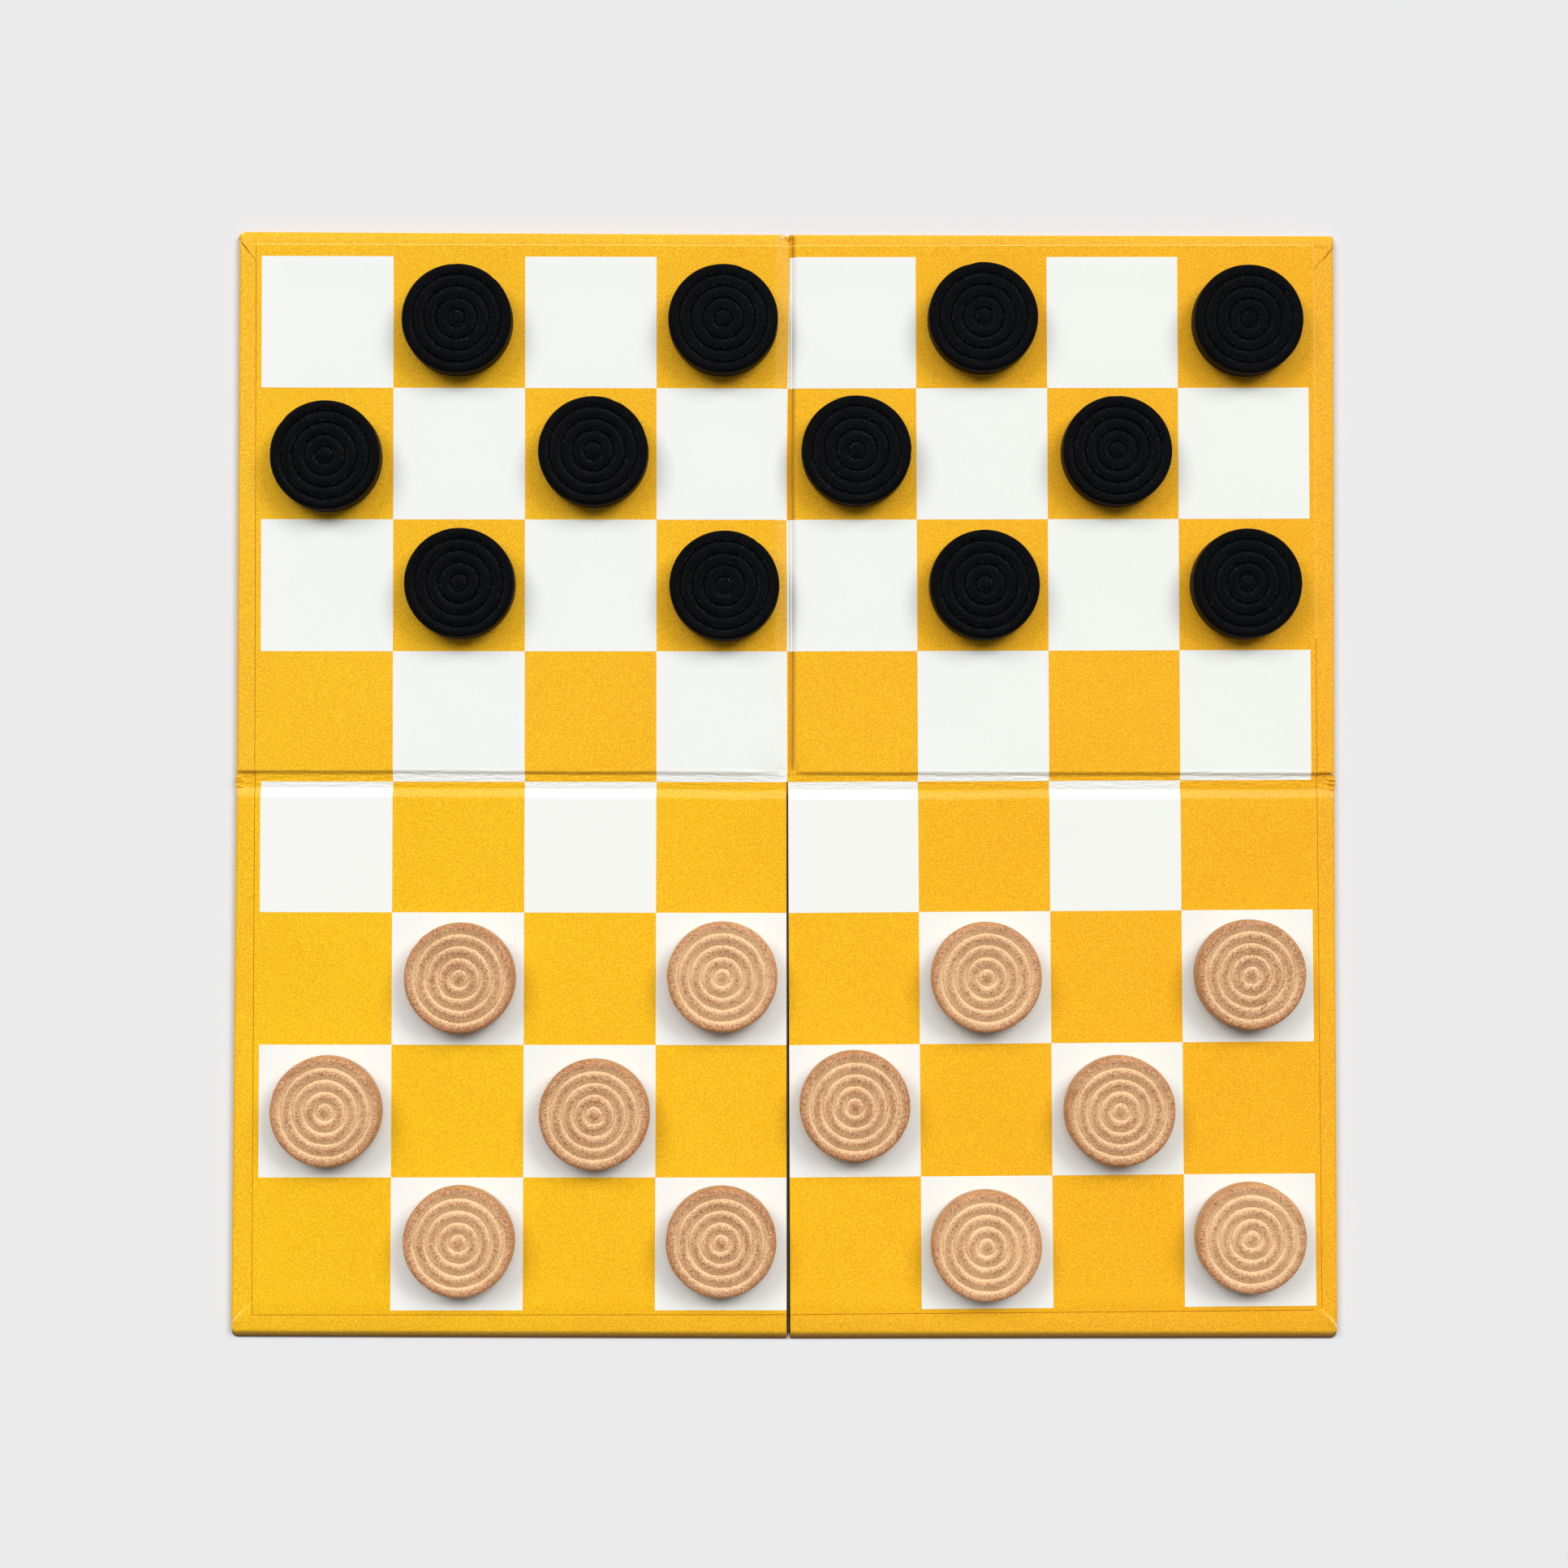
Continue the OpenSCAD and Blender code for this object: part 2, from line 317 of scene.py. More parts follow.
class Recipe:
    """Builds the nodes of one material."""

    def __init__(self, name: str) -> None:
        """Starts an empty material.

        Args:
            name: Name of the material.
        """
        self.material = bpy.data.materials.new(name)
        self.material.use_nodes = True
        self.tree = self.material.node_tree
        self.tree.nodes.clear()

    def add(
        self,
        kind: str,
        inputs: dict[str | int, object] | None = None,
        **settings: object,
    ) -> bpy.types.Node:
        """Adds a node.

        Args:
            kind: The node's type, without its common prefix.
            inputs: Values or sockets for its inputs, by name or number.
            settings: The node's own settings.

        Returns:
            The node.
        """
        node = self.tree.nodes.new("ShaderNode" + kind)
        for name, value in settings.items():
            setattr(node, name, value)
        for key, value in (inputs or {}).items():
            if isinstance(value, Socket):
                self.tree.links.new(value, node.inputs[key])
            else:
                node.inputs[key].default_value = value
        return node

    def place(self, stretch: Stretch = (1, 1, 1)) -> Socket:
        """Reads the place on the piece in millimetres, divided by a stretch along each axis."""
        coordinates = self.add("TexCoord").outputs["Object"]
        return self.stretched(coordinates, tuple(MM * part for part in stretch))

    def marked(self, name: str, output: str = "Fac") -> Socket:
        """Reads an attribute of the piece's vertices."""
        return self.add("Attribute", attribute_name=name).outputs[output]

    def stretched(self, vector: Socket, stretch: Stretch) -> Socket:
        """Divides a place by a stretch along each axis."""
        scale = tuple(1 / part for part in stretch)
        return self.add("Mapping", {"Vector": vector, "Scale": scale}).outputs["Vector"]

    def noise(self, vector: Socket, grain: float, detail: float = 3, rough: float = 0.5) -> Socket:
        """Adds noise of about 0 to 1 whose features have the size of the grain."""
        inputs = {"Vector": vector, "Scale": 1 / grain, "Detail": detail, "Roughness": rough}
        return self.add("TexNoise", inputs).outputs["Fac"]

    def between(self, value: Socket, low: float, high: float, out: tuple[float, float] = (0, 1)) -> Socket:
        """Maps a value from low and high to the two numbers of out, and holds it between them."""
        inputs = {"Value": value, "From Min": low, "From Max": high, "To Min": out[0], "To Max": out[1]}
        return self.add("MapRange", inputs, interpolation_type="SMOOTHSTEP").outputs["Result"]

    def math(self, operation: str, first: object, second: object = 0.0) -> Socket:
        """Works out one operation on two numbers or sockets."""
        return self.add("Math", {0: first, 1: second}, operation=operation).outputs[0]

    def mix(self, share: Socket | float, first: object, second: object, way: str = "MIX") -> Socket:
        """Mixes two colours by a share of the second, in one of the Mix node's ways."""
        inputs = {0: share, 6: first, 7: second}
        return self.add("Mix", inputs, data_type="RGBA", blend_type=way).outputs[2]

    def bump(self, height: Socket, distance: float, normal: Socket | None = None) -> Socket:
        """Tilts the surface by a height field.

        Args:
            height: The field, of about 0 to 1.
            distance: Height in millimetres of a step of 1 in the field.
            normal: Normal of a coarser bump below this one.

        Returns:
            The new normal.
        """
        inputs = {"Height": height, "Distance": distance * MM}
        if normal is not None:
            inputs["Normal"] = normal
        return self.add("Bump", inputs).outputs["Normal"]

    def finish(self, inputs: dict[str, object]) -> Material:
        """Ends the material with its shader and output.

        Args:
            inputs: Values or sockets for the shader's inputs, by name.

        Returns:
            The material.
        """
        shader = self.add("BsdfPrincipled", inputs)
        self.add("OutputMaterial", {"Surface": shader.outputs[0]})
        return self.material


@dataclass(frozen=True)
class PaperFinish:
    """Printed paper: ink over faint fibres, with painted shade that dulls the far half and the right.

    Attributes:
        colour: Its colour on the near half, at the left.
        far: Its colour on the far half, at the left, darker by painted shade.
        right: Its colour at the right edge, darker by painted shade.
        grain: How strongly the fibres vary the colour.
        gloss: Roughness of the ink.
        shine: How much it mirrors.
        tooth: Height of its fibres, in millimetres.
        core_and_highlight: Paper colour where ink wore off, and the painted highlight beside the folds.
        painted_shade_tone: Colour of the painted shade in the folds and low on the edges.
        dull: Colour that the ink is multiplied by where its fibres show.
        fibre: Size of the fibres, in millimetres.
        cloud: Size of the uneven patches, in millimetres.
        crease: Height of the creases at the folds, in millimetres.
        bulge: Height of the uneven patches, in millimetres.
    """

    colour: Colour
    far: Colour
    right: Colour
    grain: float
    gloss: float
    shine: float = 0.3
    tooth: float = 0.02
    core_and_highlight: Colour = (252, 247, 232)
    painted_shade_tone: Colour = (112, 70, 34)
    dull: Colour = (200, 130, 30)
    fibre: float = 0.45
    cloud: float = 45
    crease: float = 0.35
    bulge: float = 0.25

    def material(self, name: str) -> Material:
        """Builds the paper's material.

        Args:
            name: Name of the material.

        Returns:
            The material.
        """
        recipe = Recipe(name)
        place = recipe.place()
        split = recipe.add("SeparateXYZ", {0: place})
        fibre = recipe.noise(place, self.fibre, 1, 0.6)
        cloud = recipe.noise(place, self.cloud, 2)
        # Painted shade: the colour darkens towards the far half and towards the right.
        far = recipe.between(split.outputs["Y"], -1, 2)
        right = recipe.between(split.outputs["X"], -150, 170, (0, 0.8))
        colour = recipe.mix(far, linear(self.colour), linear(self.far))
        colour = recipe.mix(right, colour, linear(self.right))
        dull = recipe.mix(1.0, colour, linear(self.dull), "MULTIPLY")
        fleck = recipe.between(fibre, 0.36, 0.64, (0, self.grain))
        patch = recipe.between(cloud, 0.3, 0.7, (0, self.grain * 0.15))
        colour = recipe.mix(recipe.math("ADD", fleck, patch), colour, dull)
        # Painted shade in the folds and low on the edges.
        colour = recipe.mix(recipe.marked("painted_shade"), colour, linear(self.painted_shade_tone))
        # Worn-off ink, and painted highlight on the slopes beside the folds that face the lamps.
        colour = recipe.mix(recipe.marked("worn_and_highlit"), colour, linear(self.core_and_highlight))
        creases = recipe.noise(recipe.stretched(place, (3.2, 0.55, 1)), 1, 3, 0.55)
        creases = recipe.math("MULTIPLY", creases, recipe.marked("creased"))
        normal = recipe.bump(creases, self.crease)
        normal = recipe.bump(fibre, self.tooth, normal)
        normal = recipe.bump(cloud, self.bulge, normal)
        return recipe.finish({
            "Base Color": colour,
            "Roughness": self.gloss,
            "Specular IOR Level": self.shine,
            "Normal": normal,
        })


@dataclass(frozen=True)
class BoardFinish:
    """Greyboard: pressed grey-brown pulp in thin plies, with darker specks.

    Attributes:
        colour: Colour of the pulp.
        speck: Colour of the specks and of every other ply.
        ply: Thickness of a ply, in millimetres.
    """

    colour: Colour = (96, 82, 72)
    speck: Colour = (66, 55, 50)
    ply: float = 0.45

    def material(self, name: str) -> Material:
        """Builds the board's material.

        Args:
            name: Name of the material.

        Returns:
            The material.
        """
        recipe = Recipe(name)
        plies = recipe.noise(recipe.place((6, 6, self.ply)), 1, 3, 0.6)
        pulp = recipe.noise(recipe.place(), 0.5, 4, 0.65)
        layers = recipe.between(plies, 0.4, 0.65, (0, 0.5))
        specks = recipe.between(pulp, 0.5, 0.75, (0, 0.5))
        share = recipe.math("ADD", layers, specks)
        colour = recipe.mix(share, linear(self.colour), linear(self.speck))
        return recipe.finish({
            "Base Color": colour,
            "Roughness": 0.95,
            "Specular IOR Level": 0.1,
            "Normal": recipe.bump(pulp, 0.12),
        })


@dataclass(frozen=True)
class CutPaperFinish:
    """Cut edge of the paper, where the ink stops and the fibres show.

    Attributes:
        colour: Colour of the edge.
        fibre: Colour of its fibres.
    """

    colour: Colour = (255, 230, 152)
    fibre: Colour = (246, 200, 96)

    def material(self, name: str) -> Material:
        """Builds the cut edge's material.

        Args:
            name: Name of the material.

        Returns:
            The material.
        """
        recipe = Recipe(name)
        fibres = recipe.noise(recipe.place((1, 1, 0.2)), 0.8, 3)
        colour = recipe.mix(recipe.between(fibres, 0.4, 0.65), linear(self.colour), linear(self.fibre))
        return recipe.finish({"Base Color": colour, "Roughness": 0.9, "Specular IOR Level": 0.1})


@dataclass(frozen=True)
class BareWoodFinish:
    """Bare turned wood: pale in the turned grooves, browner where hands have worn the ridges.

    Attributes:
        groove: Colour in the grooves.
        ridge: Colour on the ridges.
        fleck: Colour of the pores.
        vein: Colour of the dark lines in the grain.
        edge: Colour around the man's outside.
        shade: Colour that the wood is multiplied by in its darker bands and fibres.
    """

    groove: Colour = (255, 223, 174)
    ridge: Colour = (224, 168, 121)
    fleck: Colour = (136, 88, 56)
    vein: Colour = (126, 74, 48)
    edge: Colour = (230, 184, 122)
    shade: Colour = (184, 156, 137)

    def material(self, name: str) -> Material:
        """Builds the wood's material.

        Args:
            name: Name of the material.

        Returns:
            The material.
        """
        recipe = Recipe(name)
        grain = recipe.marked("grain", "Vector")
        bands = recipe.noise(recipe.stretched(grain, (26, 3.0, 3.0)), 1, 3, 0.55)
        fibres = recipe.noise(recipe.stretched(grain, (0.8, 0.24, 0.24)), 1, 4, 0.7)
        pores = recipe.noise(recipe.stretched(grain, (1.1, 0.2, 0.2)), 1, 2, 0.5)
        lines = recipe.noise(recipe.stretched(grain, (40, 5, 5)), 1, 2, 0.5)
        off_line = recipe.math("ABSOLUTE", recipe.math("SUBTRACT", lines, 0.5))
        vein = recipe.math("MULTIPLY", recipe.between(off_line, 0.006, 0.001), recipe.marked("vein"))
        colour = recipe.mix(recipe.marked("groove"), linear(self.ridge), linear(self.groove))
        colour = recipe.mix(recipe.marked("edge"), colour, linear(self.edge))
        share = recipe.math("ADD", recipe.between(bands, 0.36, 0.68, (0, 0.4)), recipe.marked("tone"))
        share = recipe.math("ADD", share, recipe.between(fibres, 0.38, 0.62, (-0.6, 1.05)))
        dark = recipe.mix(1.0, colour, linear(self.shade), "MULTIPLY")
        bare = recipe.between(recipe.marked("groove"), 0, 1, (1.0, 0.4))
        colour = recipe.mix(recipe.math("MULTIPLY", share, bare), colour, dark)
        colour = recipe.mix(recipe.between(pores, 0.6, 0.74, (0, 0.5)), colour, linear(self.fleck))
        colour = recipe.mix(vein, colour, linear(self.vein))
        normal = recipe.bump(fibres, 0.09)
        normal = recipe.bump(pores, 0.05, normal)
        return recipe.finish({
            "Base Color": colour,
            "Roughness": recipe.between(fibres, 0.3, 0.7, (0.42, 0.62)),
            "Specular IOR Level": 0.35,
            "Normal": normal,
        })


@dataclass(frozen=True)
class StainedWoodFinish:
    """Black stained wood: matt, with flecks beside the grooves of worn stain and painted glint.

    Attributes:
        stain: Colour of the stain.
        worn_and_highlit: Colour of the flecks beside the grooves: worn stain and painted glint.
        brown: Colour of the patches where the stain is thin.
    """

    stain: Colour = (5, 6, 8)
    worn_and_highlit: Colour = (100, 110, 120)
    brown: Colour = (14, 12, 12)

    def material(self, name: str) -> Material:
        """Builds the stained wood's material.

        Args:
            name: Name of the material.

        Returns:
            The material.
        """
        recipe = Recipe(name)
        grain = recipe.marked("grain", "Vector")
        fibres = recipe.noise(recipe.stretched(grain, (0.7, 0.24, 0.24)), 1, 4, 0.7)
        sparks = recipe.noise(recipe.stretched(grain, (0.5, 0.2, 0.2)), 1, 2, 0.6)
        cloud = recipe.noise(grain, 5, 2)
        thin = recipe.between(cloud, 0.4, 0.7, (0, 0.35))
        colour = recipe.mix(thin, linear(self.stain), linear(self.brown))
        # Painted glints, partly worn stain: pale flecks in a band beside each groove.
        spark = recipe.math("MULTIPLY", recipe.between(sparks, 0.56, 0.78), recipe.marked("lip"))
        colour = recipe.mix(spark, colour, linear(self.worn_and_highlit))
        return recipe.finish({
            "Base Color": colour,
            "Roughness": recipe.between(fibres, 0.3, 0.7, (0.34, 0.5)),
            "Specular IOR Level": 0.04,
            "Normal": recipe.bump(fibres, 0.2),
        })


class Finishes:
    """All the materials of the set, each built once."""

    def __init__(self) -> None:
        """Builds the materials."""
        yellow = (255, 204, 28), (255, 201, 36), (255, 190, 36)
        white = (242, 243, 239), (240, 242, 239), (240, 242, 236)
        printed = PaperFinish(*yellow, grain=0.34, gloss=0.6, shine=0.12)
        inked = PaperFinish(*white, grain=0.02, gloss=0.5)
        cover = PaperFinish(*yellow, grain=0.38, gloss=0.5, shine=0.2)
        # A darker copy of the cut edge: painted shade for edges that face away from the lamps.
        shaded = CutPaperFinish(colour=(200, 118, 24), fibre=(160, 90, 18))
        self.print_yellow = printed.material("print_yellow")
        self.print_white = inked.material("print_white")
        self.cover_yellow = cover.material("cover_yellow")
        self.cut_paper = CutPaperFinish().material("cut_paper")
        self.shaded_paper = shaded.material("shaded_paper")
        self.greyboard = BoardFinish().material("greyboard_pulp")
        self.bare_wood = BareWoodFinish().material("bare_wood")
        self.stained_wood = StainedWoodFinish().material("stained_wood")


class Corner(Enum):
    """The corners of the board, as signs to the right and towards the far edge."""

    FAR_LEFT = (-1, 1)
    FAR_RIGHT = (1, 1)
    NEAR_LEFT = (-1, -1)
    NEAR_RIGHT = (1, -1)


@dataclass(frozen=True)
class Board:
    """Sizes of the open board, and the folds and the swing that all its papers follow.

    Places are from the middle of the board, to the right and towards the far edge.

    Attributes:
        half_width: Half of its width.
        half_depth: Half of its depth.
        corner_r: Radius of its outline at the corners.
        edge_r: Radius of its rounded edges.
        cover_t: Thickness of the cover paper.
        sheet_t: Thickness of the play sheet.
        lip_far: Where the far greyboards begin beyond the fold across the board.
        floor_far: Where the floor of that fold ends.
        wall_w: Width of the steep wall on its far side.
        wall_share: Share of its depth that the wall takes; the slant of its floor takes the rest.
        floor_near: Where its floor begins.
        lip_near: Where the near greyboards end.
        fold_dip: Depth of that fold.
        spine_lip: Half the gap between the greyboards at the fold of the far half.
        spine_dip: Depth of that fold.
        spine_rise: Width of its slope on the right.
        crease_at: Where its sharp crease runs.
        slit: Width of the slit that parts the near half, before the halves swing.
        slit_end: Where the slit stops.
        far_swing: Angle that each side of the far half is swung by.
        near_swing: Angle that each side of the near half is swung by.
        skew: Angle that the play sheet was laid askew.
        sheet_left: How far the play sheet was laid to the left.
        print_far: How far its print lies towards the far edge.
        open_half: Half width and half depth of the opening between the turned-in edges.
        shift: How far the whole board lies off its solids.
        out_of_true: How far each of its corners is off its place.
        near_in: How far the near edge lies inwards at its bottom, and how much more at its top.
        roll: How far the far edge is rolled down.
        top: Height of the wrap.
        board_top: Height of the greyboards.
        seat: Height of the play sheet, on which the men stand.
    """

    half_width: float = 318.5 / 2
    half_depth: float = 320.5 / 2
    corner_r: float = 1.4
    edge_r: float = 1.1
    cover_t: float = 0.2
    sheet_t: float = 0.2
    lip_far: float = 4.1
    floor_far: float = 2.7
    wall_w: float = 1.0
    wall_share: float = 0.7
    floor_near: float = -1.5
    lip_near: float = -3.1
    fold_dip: float = 1.3
    spine_lip: float = 3.0
    spine_dip: float = 1.0
    spine_rise: float = 2.1
    crease_at: float = 0.2
    slit: float = 0.2
    slit_end: float = 0.8
    far_swing: float = math.radians(0.1)
    near_swing: float = math.radians(0.24)
    skew: float = math.radians(0.22)
    sheet_left: float = 0.1
    print_far: float = 0.8
    open_half: tuple[float, float] = (151.0, 151.5)
    shift: tuple[float, float] = (-0.2, -0.12)
    out_of_true: dict[Corner, tuple[float, float]] = field(default_factory=lambda: {
        Corner.FAR_LEFT: (-0.2, -0.15),
        Corner.FAR_RIGHT: (0.25, 0.1),
        Corner.NEAR_LEFT: (-0.1, 0.0),
        Corner.NEAR_RIGHT: (0.0, -0.65),
    })
    near_in: tuple[float, float] = (-0.15, 1.7)
    roll: float = 0.32
    top: float = field(default_factory=lambda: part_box("cover_paper")[1].z / MM)
    board_top: float = field(default_factory=lambda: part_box("panel_far_left")[1].z / MM)
    seat: float = field(default_factory=lambda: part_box("black_man_01")[0].z / MM)

    def on_board(self, u: np.ndarray, v: np.ndarray) -> tuple[np.ndarray, np.ndarray]:
        """Turns places in the print into places on the board, before the halves swing.

        Args:
            u: Places to the right of the middle of the print.
            v: Places from there towards its far edge.

        Returns:
            The places on the board.
        """
        u, v = u - self.sheet_left, v + self.print_far
        cosine, sine = math.cos(self.skew), math.sin(self.skew)
        return cosine * u - sine * v, sine * u + cosine * v

    def slit_line(self, y: np.ndarray) -> np.ndarray:
        """Gives how far right of the middle the slit runs, which was cut along the print."""
        return -self.sheet_left - (y - self.print_far) * math.tan(self.skew)

    def swung(self, x: np.ndarray, y: np.ndarray) -> tuple[np.ndarray, np.ndarray]:
        """Swings the two halves apart about the middle of the board.

        Args:
            x: Places to the right.
            y: Places towards the far edge.

        Returns:
            The places after the swing. The fold of the far half takes it up smoothly, and the fold
            across the board takes up the larger swing of the slit near half.
        """
        folded = 2 * smooth(x, -self.spine_lip, self.spine_lip) - 1
        side = np.where(y < self.slit_end, np.sign(x - self.slit_line(y)), folded)
        far = smooth(y, self.lip_near, self.lip_far)
        turn = side * (self.near_swing + (self.far_swing - self.near_swing) * far)
        return x - y * np.sin(turn), y + x * np.sin(turn)

    def wrapped(self, x: np.ndarray, y: np.ndarray, z: np.ndarray) -> tuple[np.ndarray, np.ndarray]:
        """Places what belongs to the wrap: along the slit, with its corners out of true, and swung.

        Args:
            x: Places to the right, on a true board.
            y: Places towards the far edge.
            z: Heights, as the near side slants inwards on its way up.

        Returns:
            The places on the real board. The slit is open at the top and tight at the bottom, but
            for its last millimetre at the near edge.
        """
        inwards, slant = self.near_in
        near_side = smooth(y + self.half_depth, 5.5, 1.2)
        y = y + near_side * (inwards + slant * smooth(z, 0.1 * self.top, 0.65 * self.top))
        wide, deep = np.abs(x) / self.half_width, np.abs(y) / self.half_depth
        right, far = self.shift
        across, along = np.full_like(x, right), np.full_like(y, far)
        for corner, (off_right, off_far) in self.out_of_true.items():
            mine = (np.sign(x) == corner.value[0]) & (np.sign(y) == corner.value[1])
            across += np.where(mine, off_right * deep, 0)
            along += np.where(mine, off_far * wide, 0)
        slit = y < self.slit_end
        parted = self.parted(x, y)
        gap = self.slit / 2 - y * math.sin(self.near_swing) + np.sign(x) * parted
        left_open = 0.04
        closed = smooth(z, self.top, 0) * smooth(np.abs(x), 3, 0.2)
        closed = closed * smooth(y + self.half_depth, 0.4, 1.6)
        moved = parted - np.sign(x) * slit * closed * (gap - left_open)
        x = x + np.where(slit, self.slit_line(y) * smooth(np.abs(x), 6, 1), 0)
        x, y = self.swung(x + across * wide, y + along * deep)
        return x + moved, y

    def across(self, x: np.ndarray, y: np.ndarray) -> np.ndarray:
        """Gives the depth of the fold that runs across the board.

        Args:
            x: Places to the right.
            y: Places towards the far edge.

        Returns:
            The depth as a share of the fold's own: a steep wall on the far side, a slanting floor
            and a slope on the near side. Where the two folds cross, the wall is soft.
        """
        y = y + 0.16 * wander(x, 3, 23) + 0.05 * wander(x, 4, 7)
        wall = self.wall_share * ramp(y, self.floor_far + self.wall_w, self.floor_far, 0.25)
        wall += (1 - self.wall_share) * ramp(y, self.floor_far, self.floor_near, 0.1)
        slope = ramp(y, self.lip_near - 1.0, self.floor_near, 0.06)
        soft = ramp(y, 9.5, 1.5, 0.2)
        near_middle = np.maximum(smooth(np.abs(x), 3.6, 2.0), 0.5 * smooth(x, -13, -7) * (x < 0))
        return (wall * (1 - near_middle) + soft * near_middle) * slope

    def spine(self, x: np.ndarray, y: np.ndarray) -> np.ndarray:
        """Gives the depth of the fold in the far half.

        Args:
            x: Places to the right.
            y: Places towards the far edge.

        Returns:
            The depth as a share of the fold's own: a straight slope on the left, a sharp crease with
            a small crest beside it, and a hollow slope on the right.
        """
        x = x + 0.1 * wander(y, 5, 31)
        slope = ramp(x, -self.spine_lip - 1.2, self.crease_at - 0.1, 0.08)
        rise = (1 - ((x - self.crease_at - 0.85) / self.spine_rise).clip(0, 1)) ** 2
        crease = 0.4 * bell(x, self.crease_at + 0.1, 0.14) - 0.22 * bell(x, self.crease_at + 0.55, 0.2)
        return (slope * rise + crease) * smooth(y, self.slit_end - 0.5, self.slit_end + 1.5)

    def dip(self, x: np.ndarray, y: np.ndarray) -> np.ndarray:
        """Gives how far a paper on top of the board dips at each place."""
        across, spine = self.across(x, y) * self.fold_dip, self.spine(x, y) * self.spine_dip
        return np.maximum(across, spine) + 0.1 * np.minimum(across, spine)

    def pressed(self, x: np.ndarray, y: np.ndarray) -> np.ndarray:
        """Gives how far the cover and the greyboards dip, which is more along the board's edges."""
        inset = np.minimum(self.half_width - np.abs(x), self.half_depth - np.abs(y))
        return self.dip(x, y) * (1 + 0.3 * smooth(inset, 6, 4)) + 0.4 * self.end_of_spine(x, y)

    def end_of_spine(self, x: np.ndarray, y: np.ndarray) -> np.ndarray:
        """Gives how much deeper the far half's fold is at its end on the edge, from 0 to 1."""
        return self.spine(x, y).clip(0, 1) * smooth(y, 154.8, 157.2)

    def rolled(self, y: np.ndarray) -> np.ndarray:
        """Gives how far the far edge is rolled down by use."""
        return self.roll * smooth(self.half_depth - y, 2.7, 0.3)

    def parted(self, x: np.ndarray, y: np.ndarray) -> np.ndarray:
        """Gives how far the slit's edges stand off where the swing brings them.

        Args:
            x: Places to the right of the slit's line.
            y: Places towards the far edge.

        Returns:
            The move to the right. It opens the slit beside the fold and narrows it at the near edge.
        """
        wider = np.interp(-y, [-self.slit_end, 0, 2, 6, 149], [0, 0.12, 0.2, 0.14, -0.2])
        return np.sign(x) * wider * smooth(np.abs(x), 3, 0.2) * (y < self.slit_end)

    def painted_fold_shade(self, x: np.ndarray, y: np.ndarray) -> np.ndarray:
        """Gives where shade in the folds is painted into the colour.

        Args:
            x: Places to the right.
            y: Places towards the far edge.

        Returns:
            The share of painted shade: at the foot of the steep wall, and to the right of the sharp crease.
        """
        across = 0.6 * bell(y, self.floor_far + 0.5, 0.5) * smooth(np.abs(x), 3, 7)
        spine = 0.9 * bell(x, self.crease_at + 1.25, 0.6) * smooth(y, 3, 6)
        return np.maximum(across, spine)

    def painted_highlight(self, x: np.ndarray, y: np.ndarray) -> np.ndarray:
        """Gives where highlight is painted, paler, on the slopes beside the folds that face the lamps.

        Args:
            x: Places to the right.
            y: Places towards the far edge.

        Returns:
            The share of painted highlight: on the near slope of the fold across the board, and to
            the left of the far half's crease.
        """
        y = y + 0.3 * wander(x, 6, 17)
        near = smooth(y, self.lip_near - 1.5, self.lip_near - 0.5)
        near = near * smooth(y, self.floor_near + 0.2, self.floor_near - 0.7)
        spine = 0.7 * smooth(x, -4.4, -2.8) * smooth(x, 0.2, -0.4) * smooth(y, 4, 7)
        return np.maximum(near, spine)

    def creased(self, x: np.ndarray, y: np.ndarray) -> np.ndarray:
        """Gives where the papers are crumpled by the folds.

        Args:
            x: Places to the right.
            y: Places towards the far edge.

        Returns:
            The share of creases, which is highest in the fold across the board.
        """
        fold = smooth(np.abs(y - 1.2), 3.4, 1.8)
        spine = smooth(np.abs(x), 2.6, 0.6) * smooth(y, -1, 1) * 0.35
        return np.maximum(fold, spine)


